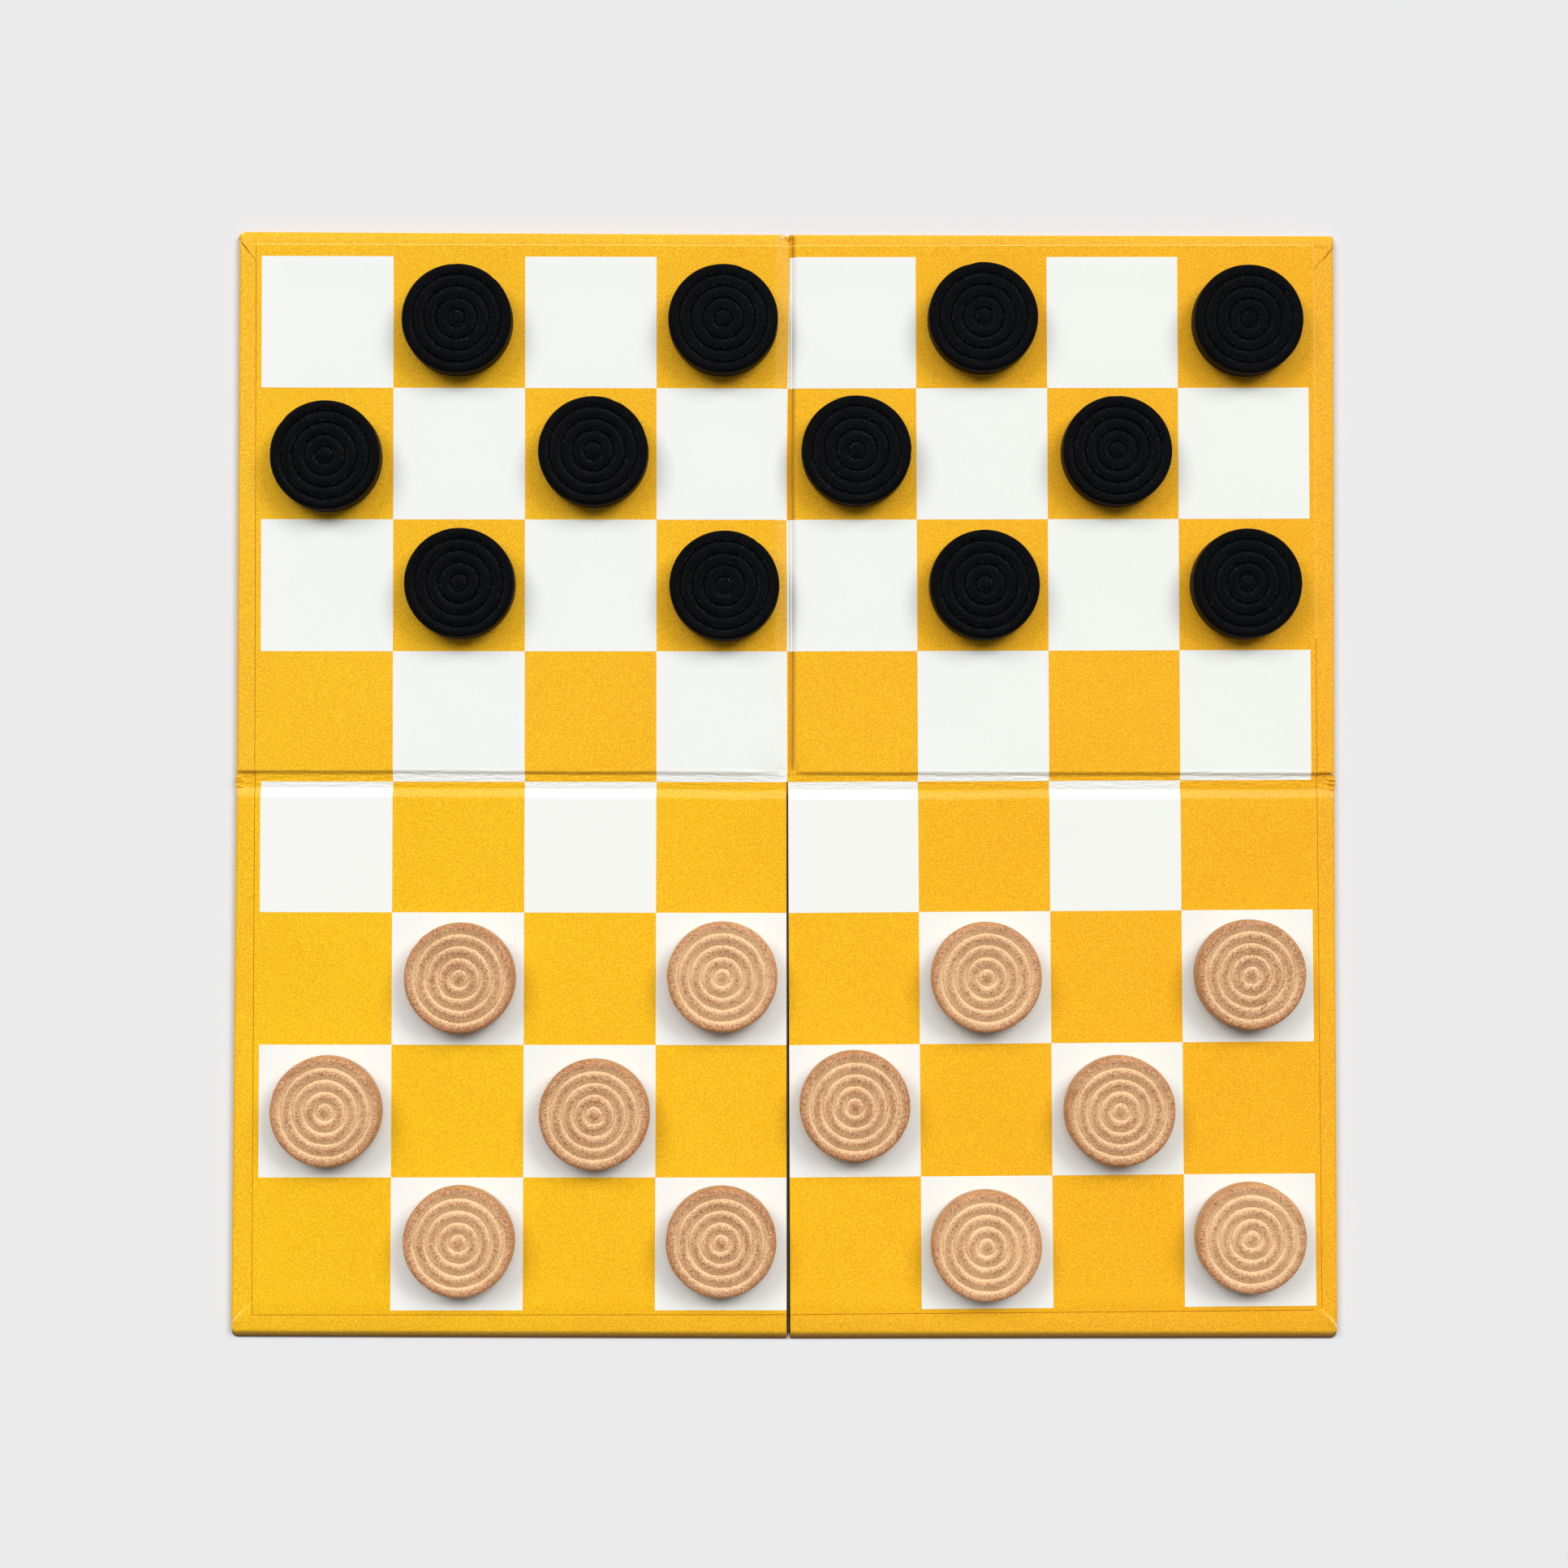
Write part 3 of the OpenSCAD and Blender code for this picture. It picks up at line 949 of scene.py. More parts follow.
@dataclass
class PlaySheet:
    """The printed sheet on top of the board, with the white fields of its print.

    Attributes:
        board: The board that it lies on.
        finishes: The materials of the set.
        square: Side of one square.
        count: Squares along each side.
        half_sheet: Half width of the sheet.
        near_end: Where it ends towards the near edge, from the middle of the print.
        far_end: Where it ends towards the far edge.
        cut_w: Width of its slanting cut edge.
        ink: Height of the white fields over the sheet.
        ink_depth: Thickness of the white fields.
        rise: Width of the slope up to the turned-in edges.
        stretch: How much longer the print is than true, to the right and towards the far edge.
        taken_up: How much of the print the folds take up on each side.
        spine_pull: How far the far end of the middle line is pulled to the right.
        columns: Stretches with closer columns, as start, end and greatest distance.
        rows: Stretches with closer rows, in the same way.
    """

    board: Board
    finishes: Finishes
    square: float = 38.1
    count: int = 8
    half_sheet: float = 153.95
    near_end: float = -153.6
    far_end: float = 155.7
    cut_w: float = 0.2
    ink: float = 0.015
    ink_depth: float = 0.05
    rise: float = 8.0
    stretch: tuple[float, float] = (1.0005, 1.0033)
    taken_up: tuple[float, float] = (0.2, 0.32)
    spine_pull: float = 0.95
    columns: tuple[Zone, ...] = ((-4.4, 3.6, 0.4), (-0.7, 1.1, 0.12), (1.1, 3.0, 0.24))
    rows: tuple[Zone, ...] = ((-6.6, 5.4, 0.25),)

    def lines(self) -> tuple[np.ndarray, np.ndarray]:
        """Works out the columns and rows of the sheet's grid.

        Returns:
            The places of the columns and of the rows.
        """
        squares = [self.square * k for k in range(-self.count // 2, self.count // 2 + 1)]
        cut, half, slit = self.cut_w, self.half_sheet, self.board.slit / 2
        sides = [-half - cut, -half, half, half + cut, -slit, slit]
        ends = [self.near_end - cut, self.near_end, self.far_end, self.far_end + cut]
        return stations(sides + squares, self.columns, 1.7), stations(ends + squares, self.rows, 3.4)

    def is_white(self, u: float, v: float) -> bool:
        """Tells whether a place in the print lies on a white field.

        Args:
            u: How far right of the middle of the print it is.
            v: How far from there towards the far edge.

        Returns:
            Whether it is white.
        """
        half = self.square * self.count / 2
        if max(abs(u), abs(v)) > half:
            return False
        column, row = math.floor((u + half) / self.square), math.floor((half - v) / self.square)
        return (column + row) % 2 == 0

    def surface(self, keep: Callable[[float, float], bool], lift: float, painted_fold_light: float) -> BMesh:
        """Makes the sheet's face, or the part of it that is kept.

        Args:
            keep: Tells from a face's place in the print whether it stays.
            lift: Height of the face over the sheet's own.
            painted_fold_light: How much of the painted shade and highlight in the folds shows.

        Returns:
            The face as an open mesh in its place on the board, with its slanting cut edge.
        """
        board = self.board
        bm = laid_grid(*self.lines())
        dropped = []
        for face in bm.faces:
            u, v, _ = face.calc_center_median()
            in_slit = abs(u) < board.slit / 2 and v < board.slit_end - board.print_far
            if in_slit or not keep(u, v):
                dropped.append(face)
            elif min(self.half_sheet - abs(u), self.far_end - v, v - self.near_end) < 0:
                # Painted light: the strip takes the pale cut edge where it faces the lamps, the shaded copy
                # elsewhere.
                lit = v > self.far_end or (u > self.half_sheet and v > 40)
                face.material_index = 2 if lit else 1
        bmesh.ops.delete(bm, geom=dropped, context="FACES")
        places = read_places(bm)
        u, v = places[:, 0], places[:, 1]
        border = np.minimum(self.half_sheet - np.abs(u), np.minimum(self.far_end - v, v - self.near_end))
        parted = board.parted(u, v)
        u = u * self.stretch[0] - self.taken_up[0] * np.tanh(u / 2) * smooth(np.abs(u), 0, 2)
        v = v * self.stretch[1] - self.taken_up[1] * np.tanh(v / 2)
        u = u + self.spine_pull * bell(u, 0, 2.5) * smooth(v, 88, 155)
        x, y = board.on_board(u, v)
        outside = np.maximum(np.abs(x) - board.open_half[0], np.abs(y) - board.open_half[1])
        over_edge = smooth(outside, -self.rise, 0)
        creased = board.creased(x, y)
        ripple = ripples(x, y, 11, 9, 1.6) * 0.03 * creased
        curl = 0.1 * smooth(border, 2.0, 0) - 0.95 * (board.sheet_t + 0.1) * (border < -1e-6)
        z = board.seat + board.cover_t * over_edge - board.dip(x, y) + ripple + curl + lift
        slit_edge = np.where(y < board.slit_end, smooth(np.abs(x - board.slit_line(y)), 0.5, 0.1), 0) * 0.1
        painted_shade, painted_highlight = board.painted_fold_shade(x, y), board.painted_highlight(x, y)
        x, y = board.swung(x, y)
        write_places(bm, np.column_stack([x + parted, y, z - slit_edge]))
        mark_vertices(bm, "creased", creased)
        # Painted shade in the folds.
        mark_vertices(bm, "painted_shade", painted_fold_light * painted_shade)
        # Painted highlight on the lit slopes beside the folds.
        mark_vertices(bm, "worn_and_highlit", 0.1 * painted_fold_light * painted_highlight)
        return bm

    def build(self) -> list[bpy.types.Object]:
        """Builds the sheet and its white fields.

        Returns:
            The two pieces.
        """
        made = self.finishes
        sheet = finish_piece(
            self.surface(lambda u, v: True, 0, 0.6),
            "printed_sheet",
            ["play_sheet"],
            # The sheet's rims wear the shaded copy: painted shade along the slit and the edges.
            [made.print_yellow, made.shaded_paper, made.cut_paper],
            self.board.sheet_t,
        )
        white = finish_piece(
            self.surface(self.is_white, self.ink, 0.06),
            "white_fields",
            ["white_squares"],
            [made.print_white, made.print_white],
            self.ink_depth,
        )
        return [sheet, white]


@dataclass(frozen=True)
class Pleat:
    """A small pleat of the wrap at the end of the fold across the board.

    Attributes:
        side: -1 at the left end and 1 at the right one.
        at: Where its crest meets the edge, towards the far edge.
        slant: How far its crest moves towards the far edge for each millimetre inwards.
        height: Height of its crest.
        width: Half width of its crest.
        reach: How far it runs in from the edge.
    """

    side: int
    at: float
    slant: float
    height: float
    width: float
    reach: float


@dataclass
class CoverPaper:
    """The one sheet that wraps the greyboards: back, round edges and turned-in edges.

    Attributes:
        board: The board that it wraps.
        finishes: The materials of the set.
        nick: Depth of the nick that the far half's fold leaves in the far edge.
        corner_w: Width of the stretch at both ends of a side that has closer lines.
        seam_inner: How far from the middle of the board the mitred seams end, by its depth.
        seam_w: Width of the cut edge that shows along a seam.
        seam_tuck: How far the paper runs on below a seam.
        seam_zone: Side of the square at a corner in which its seam is cut.
        seams: Where each seam starts from its corner, and how far its flap stands up.
        pleats: The pleats at the ends of the fold across the board.
        rubs: Where the ink has worn off, as places to the right and far, and their size.
        columns: Stretches with closer columns, as start, end and greatest distance.
        rows: Stretches with closer rows, in the same way.
    """

    board: Board
    finishes: Finishes
    nick: float = 0.5
    corner_w: float = 2.2
    seam_inner: float = 147.2
    seam_w: float = 0.3
    seam_tuck: float = 0.35
    seam_zone: float = 13.4
    seams: dict[Corner, tuple[float, float]] = field(default_factory=lambda: {
        Corner.FAR_LEFT: (1.9, 0.3),
        Corner.FAR_RIGHT: (3.0, 0.28),
        Corner.NEAR_LEFT: (4.1, 0.22),
        Corner.NEAR_RIGHT: (3.3, 0.26),
    })
    pleats: tuple[Pleat, ...] = (
        Pleat(-1, 1.5, -0.35, 0.5, 0.28, 2.9),
        Pleat(-1, 0.5, -0.05, 0.5, 0.26, 2.6),
        Pleat(-1, -1.1, -0.2, 0.55, 0.3, 3.4),
        Pleat(1, 1.1, 0.3, 0.5, 0.3, 3.0),
        Pleat(1, -0.2, 0.25, 0.55, 0.28, 3.4),
        Pleat(1, -1.6, 0.1, 0.5, 0.26, 4.8),
    )
    rubs: tuple[tuple[float, float, float], ...] = (
        (-158.6, 159.8, 0.5),
        (-2.0, 159.5, 0.4),
        (158.7, 3.2, 0.3),
        (158.9, -157.6, 0.5),
        (-158.9, -155.9, 0.25),
    )
    columns: tuple[Zone, ...] = ((-4.5, 4.5, 0.4), (-0.7, 3.0, 0.24))
    rows: tuple[Zone, ...] = ((-4.6, 4.6, 0.16),)

    def rings(self) -> list[tuple[float, float, float]]:
        """Works out the rings of the wrap beyond its back.

        Returns:
            The half width, half depth and height of each ring, from the back up and inwards.
        """
        board, steps = self.board, 6
        radius, straight = board.edge_r, board.top - 2 * board.edge_r
        made = []
        for centre_z, start in ((radius, -90), (radius + straight, 0)):
            for k in range(1 if start < 0 else 0, steps + 1):
                angle = math.radians(start + 90 * k / steps)
                out = radius * (math.cos(angle) - 1)
                height = centre_z + radius * math.sin(angle)
                made.append((board.half_width + out, board.half_depth + out, height))
        inner = stations([0, 1], [(0, 0.25, 0.06), (0.31, 0.38, 0.02)], 0.09)[1:]
        wide, deep = made[-1][:2]
        for share in inner:
            made.append((
                wide + (board.open_half[0] - wide) * share,
                deep + (board.open_half[1] - deep) * share,
                board.top,
            ))
        return made

    def wrap(self) -> BMesh:
        """Makes the wrap as an open sheet: a grid for the back, and rings drawn out of its border.

        Returns:
            The sheet, still flat and square, with its faces outwards.
        """
        board = self.board
        wide, deep = board.half_width - board.edge_r, board.half_depth - board.edge_r
        slit = board.slit / 2

        def corners(half: float) -> tuple[Zone, ...]:
            """Gives the closer lines at both ends of a side, whose half length is given."""
            return (-half, self.corner_w - half, 0.4), (half - self.corner_w, half, 0.4)

        columns = stations([-wide, -slit, 0, slit, wide], corners(wide) + self.columns, 3.6)
        rows = stations([-deep, board.slit_end, deep], corners(deep) + self.rows, 3.6)
        bm = laid_grid(columns, rows)
        bmesh.ops.reverse_faces(bm, faces=bm.faces)
        edges = [edge for edge in bm.edges if edge.is_boundary]
        size = (wide, deep, 0.0)
        for ring in self.rings():
            drawn = bmesh.ops.extrude_edge_only(bm, edges=edges)["geom"]
            edges = [item for item in drawn if isinstance(item, bmesh.types.BMEdge)]
            verts = [item for item in drawn if isinstance(item, bmesh.types.BMVert)]
            bmesh.ops.scale(bm, vec=(ring[0] / size[0], ring[1] / size[1], 1), verts=verts)
            bmesh.ops.translate(bm, vec=(0, 0, ring[2] - size[2]), verts=verts)
            size = ring
        return bm

    def cut_seam(self, bm: BMesh, corner: Corner) -> None:
        """Cuts the mitred seam of a corner through the turned-in edge, and lifts the flap over it.

        Args:
            bm: The wrap, still flat and square.
            corner: Which corner it is.
        """
        board = self.board
        along, lift = self.seams[corner]
        right, far = corner.value
        outer = Vector((right * board.half_width, far * (board.half_depth - along), 0))
        inner = Vector((right * board.open_half[0], far * self.seam_inner, 0))
        run = inner - outer
        normal = Vector((-run.y, run.x, 0)).normalized()
        if normal.y * far < 0:
            normal = -normal

        def in_corner(face: bmesh.types.BMFace) -> bool:
            """Tells whether a face lies on the turned-in edge at this corner.

            Args:
                face: The face.

            Returns:
                Whether it does.
            """
            centre = face.calc_center_median()
            inset = max(board.half_width - right * centre.x, board.half_depth - far * centre.y)
            return inset < self.seam_zone and centre.z > board.top - 0.9 * board.edge_r

        faces = [face for face in bm.faces if in_corner(face)]
        parts = {item for face in faces for item in (face, *face.edges, *face.verts)}
        cut = bmesh.ops.bisect_plane(bm, geom=list(parts), dist=1e-4, plane_co=outer, plane_no=normal)
        seam = [item for item in cut["geom_cut"] if isinstance(item, bmesh.types.BMEdge)]
        bmesh.ops.split_edges(bm, edges=seam)
        tucked, raised, rim = set(), set(), set()
        for face in [face for face in bm.faces if in_corner(face)]:
            over = (face.calc_center_median() - outer).dot(normal) > 0
            for vertex in face.verts:
                at_seam = abs((vertex.co - outer).dot(normal)) < 1e-3
                if at_seam:
                    (rim if over else tucked).add(vertex)
                if over and vertex.co.z > board.top - 0.02:
                    raised.add(vertex)
        edges = [edge for edge in bm.edges if edge.is_boundary and rim.issuperset(edge.verts)]
        for vertex in tucked:
            vertex.co += normal * self.seam_tuck
        for vertex in raised:
            distance = (vertex.co - outer).dot(normal)
            inwards = min(board.half_width - right * vertex.co.x, board.half_depth - far * vertex.co.y)
            hold = 0.25 + 0.75 * smooth(np.array(inwards), 4.2, 2.0)
            vertex.co.z += lift * float(smooth(np.array(distance), 3.0, 0.0) * hold)
        for item in bmesh.ops.extrude_edge_only(bm, edges=edges)["geom"]:
            if isinstance(item, bmesh.types.BMVert):
                item.co -= normal * self.seam_w
                item.co.z -= 0.9 * lift
            elif isinstance(item, bmesh.types.BMFace):
                # Painted light: far seams get the shaded copy, near seams the pale cut edge.
                item.material_index = 2 if far > 0 else 1

    def rounded(self, x: np.ndarray, y: np.ndarray) -> tuple[np.ndarray, np.ndarray]:
        """Rounds the four corners of the outline.

        Args:
            x: Places to the right, on the square wrap.
            y: Places towards the far edge.

        Returns:
            The places on the rounded wrap.
        """
        board = self.board
        round_off = np.where(y > 0, 0.7, 1.2) * board.corner_r
        corner = np.column_stack([board.half_width - round_off, board.half_depth - round_off])
        beyond = np.maximum(np.abs(np.column_stack([x, y])) - corner, 0)
        both = beyond.min(axis=1) > 0
        shrink = np.where(both, beyond.max(axis=1) / np.maximum(np.hypot(*beyond.T), 1e-9), 1)
        x = np.where(both, np.sign(x) * (corner[:, 0] + beyond[:, 0] * shrink), x)
        y = np.where(both, np.sign(y) * (corner[:, 1] + beyond[:, 1] * shrink), y)
        return x, y

    def crumpled(self, x: np.ndarray, y: np.ndarray, inset: np.ndarray) -> np.ndarray:
        """Gives how far the small faults of wrapping lift the paper's top.

        Args:
            x: Places to the right.
            y: Places towards the far edge.
            inset: Distances from the nearest edge.

        Returns:
            The lift: creases and pleats at the ends of the fold across the board, the crease and
            flap where the far half's fold meets the far edge, and a tuck at the far right corner.
        """
        board = self.board
        lift = 0.03 * ripples(x, y, 17, 7, 1.4) * board.creased(x, y) * smooth(inset, 9, 6)
        for pleat in self.pleats:
            inwards = board.half_width - pleat.side * x
            crest = pleat.at + pleat.slant * inwards
            lift += pleat.height * bell(y, crest, pleat.width) * smooth(inwards, pleat.reach, 0.3)
        off_crease = x - 0.26 - (board.half_depth - y) * 0.2
        flap = 0.12 * smooth(off_crease, -0.6, -0.15) * smooth(off_crease, -0.02, -0.12)
        end_of_fold = (flap - 0.3 * bell(off_crease, 0, 0.22)) * smooth(y, 155.5, 157)
        tuck = 0.12 * smooth(y, 156.6, 156.85) * smooth(x, 150, 151) * smooth(inset, 0.3, 1.2)
        return lift + end_of_fold + tuck

    def shaped(self, places: np.ndarray) -> np.ndarray:
        """Bends the flat wrap into its folds, round corners, pleats, nick and slit.

        Args:
            places: Places of the vertices on the flat, square wrap.

        Returns:
            Their places on the finished one.
        """
        board = self.board
        z = places[:, 2]
        x, y = self.rounded(places[:, 0], places[:, 1])
        inset = np.minimum(board.half_width - np.abs(x), board.half_depth - np.abs(y))
        held = smooth(inset, 0.0, 1.7) * 0.75 + 0.25
        upper = smooth(z, board.top / 2, board.top * 0.92)
        lower = 1 - smooth(z, board.top * 0.08, board.top / 2)
        dip = board.pressed(x, y)
        low = board.board_top - board.cover_t - 0.25 - 0.5 * smooth(inset, 9, 6)
        rise_across = board.across(x, y) * np.maximum(low - board.fold_dip, 0.05)
        rise_spine = board.spine(x, y).clip(0, 1) * (low - board.spine_dip) - 0.4 * board.end_of_spine(x, y)
        rise = np.maximum(rise_across, rise_spine * smooth(y, board.lip_far - 1.2, board.lip_far + 0.8))
        moved = z - (dip * held + board.rolled(y)) * upper + rise * lower * held
        moved += self.crumpled(x, y, inset) * upper
        bulge = 0.28 * bell(y, 0.5, 2.4) * smooth(inset, 1.6, 0)
        x = x + np.sign(x) * bulge * (1 + 0.5 * wander(20 * y, 8, 11))
        notch = smooth(x, -1.9, 0.1) * smooth(x, 0.42, 0.18) * smooth(y, 155, board.half_depth - 0.5)
        x, y = board.wrapped(x, y - self.nick * notch, z)
        return np.column_stack([x, y, moved])

    def worn_and_highlit(self, places: np.ndarray) -> np.ndarray:
        """Gives where the ink has worn off, and where faint highlight is painted beside the folds.

        Args:
            places: Places of the vertices on the flat, square wrap.

        Returns:
            The share of bare paper in spots on the edges, and of faint painted highlight beside the folds.
        """
        x, y, z = places.T
        shares = [bell(x, right, size) * bell(y, far, 0.6 * size) for right, far, size in self.rubs]
        return np.max([*shares, 0.06 * self.board.painted_highlight(x, y)], axis=0) * (z > self.board.top / 2)

    def painted_shade(self, places: np.ndarray) -> np.ndarray:
        """Gives where shade is painted into the colour.

        Args:
            places: Places of the vertices on the flat, square wrap.

        Returns:
            The share of painted shade: low on the edges, most of all on the near one, and in the folds.
        """
        board = self.board
        x, y, z = places.T
        low = smooth(z, 0.7 * board.top, 0.3 * board.top)
        near = smooth(y + board.half_depth, 2, 1)
        # Painted shade in the folds, and a faint darkening of the top towards the near edge.
        painted_fold_shade = 0.5 * board.painted_fold_shade(x, y) + 0.08 * smooth(y, -151, -158)
        return np.maximum(low * (0.45 + 0.53 * near), painted_fold_shade * (1 - low))

    def build(self) -> bpy.types.Object:
        """Builds the wrap.

        Returns:
            The piece.
        """
        board = self.board
        bm = self.wrap()
        slit = []
        for face in bm.faces:
            centre = face.calc_center_median()
            if abs(centre.x) < board.slit / 2 and centre.y < board.slit_end:
                slit.append(face)
        bmesh.ops.delete(bm, geom=slit, context="FACES")
        for corner in Corner:
            self.cut_seam(bm, corner)
        places = read_places(bm)
        write_places(bm, self.shaped(places))
        mark_vertices(bm, "creased", board.creased(places[:, 0], places[:, 1]))
        mark_vertices(bm, "worn_and_highlit", self.worn_and_highlit(places))
        mark_vertices(bm, "painted_shade", self.painted_shade(places))
        return finish_piece(
            bm,
            "wrapped_cover",
            ["cover_paper"],
            [self.finishes.cover_yellow, self.finishes.cut_paper, self.finishes.shaded_paper],
            board.cover_t,
            45,
        )


@dataclass
class Greyboards:
    """The four stiff panels inside the wrap, cut square at the folds and the slit.

    Attributes:
        board: The board that they stiffen.
        finishes: The materials of the set.
        outer_r: Width of the round on their outer edges.
        inner_lines: Where lines of vertices run from an inner edge, so that it bends with the folds.
        side_lines: Where they run from the left or right edge.
        end_lines: Where they run from the near or far edge.
    """

    board: Board
    finishes: Finishes
    outer_r: float = 0.9
    inner_lines: tuple[float, ...] = (0.4, 0.8, 1.3, 2.0, 3.0)
    side_lines: tuple[float, ...] = (3.0, 5.0, 7.0)
    end_lines: tuple[float, ...] = (1.5, 3.0, 4.5, 6.0)

    def panel(self, corner: Corner) -> bpy.types.Object:
        """Builds one panel.

        Args:
            corner: The corner of the board that it lies in.

        Returns:
            The piece.
        """
        board = self.board
        right, far = corner.value
        inner_x = board.spine_lip if far > 0 else board.slit / 2
        inner_y = board.lip_far if far > 0 else -board.lip_near
        outer_x, outer_y = board.half_width - board.cover_t, board.half_depth - board.cover_t
        size = Vector((outer_x - inner_x, outer_y - inner_y, board.board_top - board.cover_t))
        centre = Vector((
            right * (outer_x + inner_x) / 2,
            far * (outer_y + inner_y) / 2,
            (board.board_top + board.cover_t) / 2,
        ))
        bm = bmesh.new()
        bmesh.ops.create_cube(bm, size=1)
        bmesh.ops.scale(bm, vec=size, verts=bm.verts)
        bmesh.ops.translate(bm, vec=centre, verts=bm.verts)
        outline = []
        for edge in bm.edges:
            middle = (edge.verts[0].co + edge.verts[1].co) / 2
            if right * middle.x > outer_x - 0.01 or far * middle.y > outer_y - 0.01:
                outline.append(edge)
        bmesh.ops.bevel(
            bm,
            geom=outline,
            offset=self.outer_r,
            offset_type="OFFSET",
            segments=4,
            profile=0.5,
            affect="EDGES",
            material=-1,
        )
        columns = [inner_x + k for k in self.inner_lines] + [outer_x - k for k in self.side_lines]
        rows = [inner_y + k for k in self.inner_lines] + [outer_y - k for k in self.end_lines]
        cuts = [((right * k, 0, 0), (1, 0, 0)) for k in columns]
        cuts += [((0, far * k, 0), (0, 1, 0)) for k in rows]
        for place, normal in cuts:
            whole = [*bm.verts, *bm.edges, *bm.faces]
            bmesh.ops.bisect_plane(bm, geom=whole, dist=1e-4, plane_co=place, plane_no=normal)
        x, y, z = read_places(bm).T
        low = 1.03 * board.pressed(x, y) + 1.05 * board.rolled(y) + 0.07
        pressed = z - low * smooth(z, board.cover_t, board.board_top)
        x, y = board.wrapped(x, y, z)
        write_places(bm, np.column_stack([x, y, pressed]))
        name = f"panel_{'far' if far > 0 else 'near'}_{'right' if right > 0 else 'left'}"
        return finish_piece(bm, "grey_" + name, [name], [self.finishes.greyboard])

    def build(self) -> None:
        """Builds all four panels."""
        for corner in Corner:
            self.panel(corner)


class Wood(Enum):
    """The two sides of men, as the first word of their nodes and a name for their wood."""

    BLACK = ("black", "black_wood")
    NATURAL = ("natural", "natural_wood")


@dataclass
class Man:
    """One turned man: a domed knob, three rings and a round rim on both faces.

    Attributes:
        wood: Which side it belongs to.
        number: Its number, counted from the far left.
        finishes: The materials of the set.
        knob_r: Radius of the knob in the middle.
        ring_pitch: Distance from one groove to the next.
        ring_count: Number of rings between the knob and the rim.
        groove: Depth of the grooves, given here for a natural man.
        sharpness: How steeply the ridges fall to the grooves; 2 is a round ridge.
        black_cut: The depth and sharpness of a black man's grooves, which take their place.
        rim_r: Radius of the rim's edges.
        steps: Steps round the man.
        arc_steps: Steps across a ridge.
        round_steps: Steps round the rim's edge.
        veined: Number of the natural man with a dark vein.
        radius: Its radius, read from its node.
        height: Its thickness, read from its node.
        centre: Its middle, read from its node.
        draw: Its own source of random numbers.
    """

    wood: Wood
    number: int
    finishes: Finishes
    knob_r: float = 2.5
    ring_pitch: float = 3.4
    ring_count: int = 3
    groove: float = 1.0
    sharpness: float = 2.1
    black_cut: tuple[float, float] = (0.74, 3.0)
    rim_r: float = 1.2
    steps: int = 96
    arc_steps: int = 10
    round_steps: int = 6
    veined: int = 4
    radius: float = field(init=False)
    height: float = field(init=False)
    centre: Vector = field(init=False)
    draw: np.random.Generator = field(init=False)

    def __post_init__(self) -> None:
        """Reads the man's place and size from its node; a black man has finer grooves."""
        low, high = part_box(self.node)
        self.radius = (high.x - low.x) / MM / 2
        self.height = (high.z - low.z) / MM
        self.centre = (low + high) / MM / 2
        self.draw = np.random.default_rng(100 * (self.wood is Wood.NATURAL) + self.number)
        if self.wood is Wood.BLACK:
            self.groove, self.sharpness = self.black_cut

    @property
    def node(self) -> str:
        """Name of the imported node."""
        return f"{self.wood.value[0]}_man_{self.number:02d}"

    def half_section(self) -> list[tuple[float, float]]:
        """Works out the upper half of the section, from the middle of the face to the waist.

        Each ridge is flat at its crest and falls ever more steeply to the grooves beside it.

        Returns:
            Points as radius and height over the middle plane.
        """
        top = self.height / 2
        grooves = [self.knob_r + k * self.ring_pitch for k in range(self.ring_count + 1)]
        turn = self.radius - self.rim_r
        points = []
        for low, high in zip([-self.knob_r] + grooves, grooves + [2 * turn - grooves[-1]]):
            middle, half = (low + high) / 2, (high - low) / 2
            for k in range(self.arc_steps):
                share = -math.cos(math.pi * k / self.arc_steps)
                r = middle + half * share
                if -1e-6 < r < turn:
                    points.append((max(r, 0.0), top - self.groove * abs(share) ** self.sharpness))
        level = points[-1][1]
        for k in range(1, self.round_steps + 1):
            angle = math.pi / 2 * (1 - k / self.round_steps)
            points.append((turn + self.rim_r * math.cos(angle), level - self.rim_r * (1 - math.sin(angle))))
        return points

    def worn(self, places: np.ndarray) -> np.ndarray:
        """Adds the small faults of turning and handling to a perfect man.

        Args:
            places: Places of its vertices, about its own middle.

        Returns:
            Their places on the worn man.
        """
        x, y, z = places.T
        radius, angle = np.hypot(x, y), np.arctan2(y, x)
        natural = self.wood is Wood.NATURAL
        wobble, swell = (0.07, 0.03) if natural else (0.04, 0.02)
        shift = np.zeros_like(x)
        drop = np.zeros_like(x)
        for lobes in (2, 3, 5, 8, 13):
            phase, other = self.draw.uniform(0, 2 * math.pi, 2)
            shift += np.sin(lobes * angle + phase + 0.35 * radius) / lobes**0.5
            drop += np.sin(lobes * angle + other + 0.8 * radius) / lobes**0.3
        inner = smooth(radius, 0.5, 3) * smooth(radius, self.radius, self.radius - 1.5)
        face = smooth(np.abs(z), self.height / 2 - 1.4, self.height / 2 - 0.7)
        radius = radius + wobble * shift * inner * face - 0.03 * np.abs(shift) * (1 - inner)
        z = z - np.sign(z) * swell * (0.8 + 0.5 * drop).clip(0, 2) * face * smooth(radius, 0, 2)
        for _ in range(5 if natural else 3):
            at, up, size = self.draw.uniform((0, 0.5, 0.5), (2 * math.pi, 1, 1.3))
            away = ((angle - at + math.pi) % (2 * math.pi) - math.pi) * self.radius
            dent = bell(away, 0, size) * bell(z, up * self.height / 2, 0.8)
            radius = radius - 0.16 * dent * smooth(radius, self.radius - 2.4, self.radius - 0.4)
        return np.column_stack([radius * np.cos(angle), radius * np.sin(angle), z])

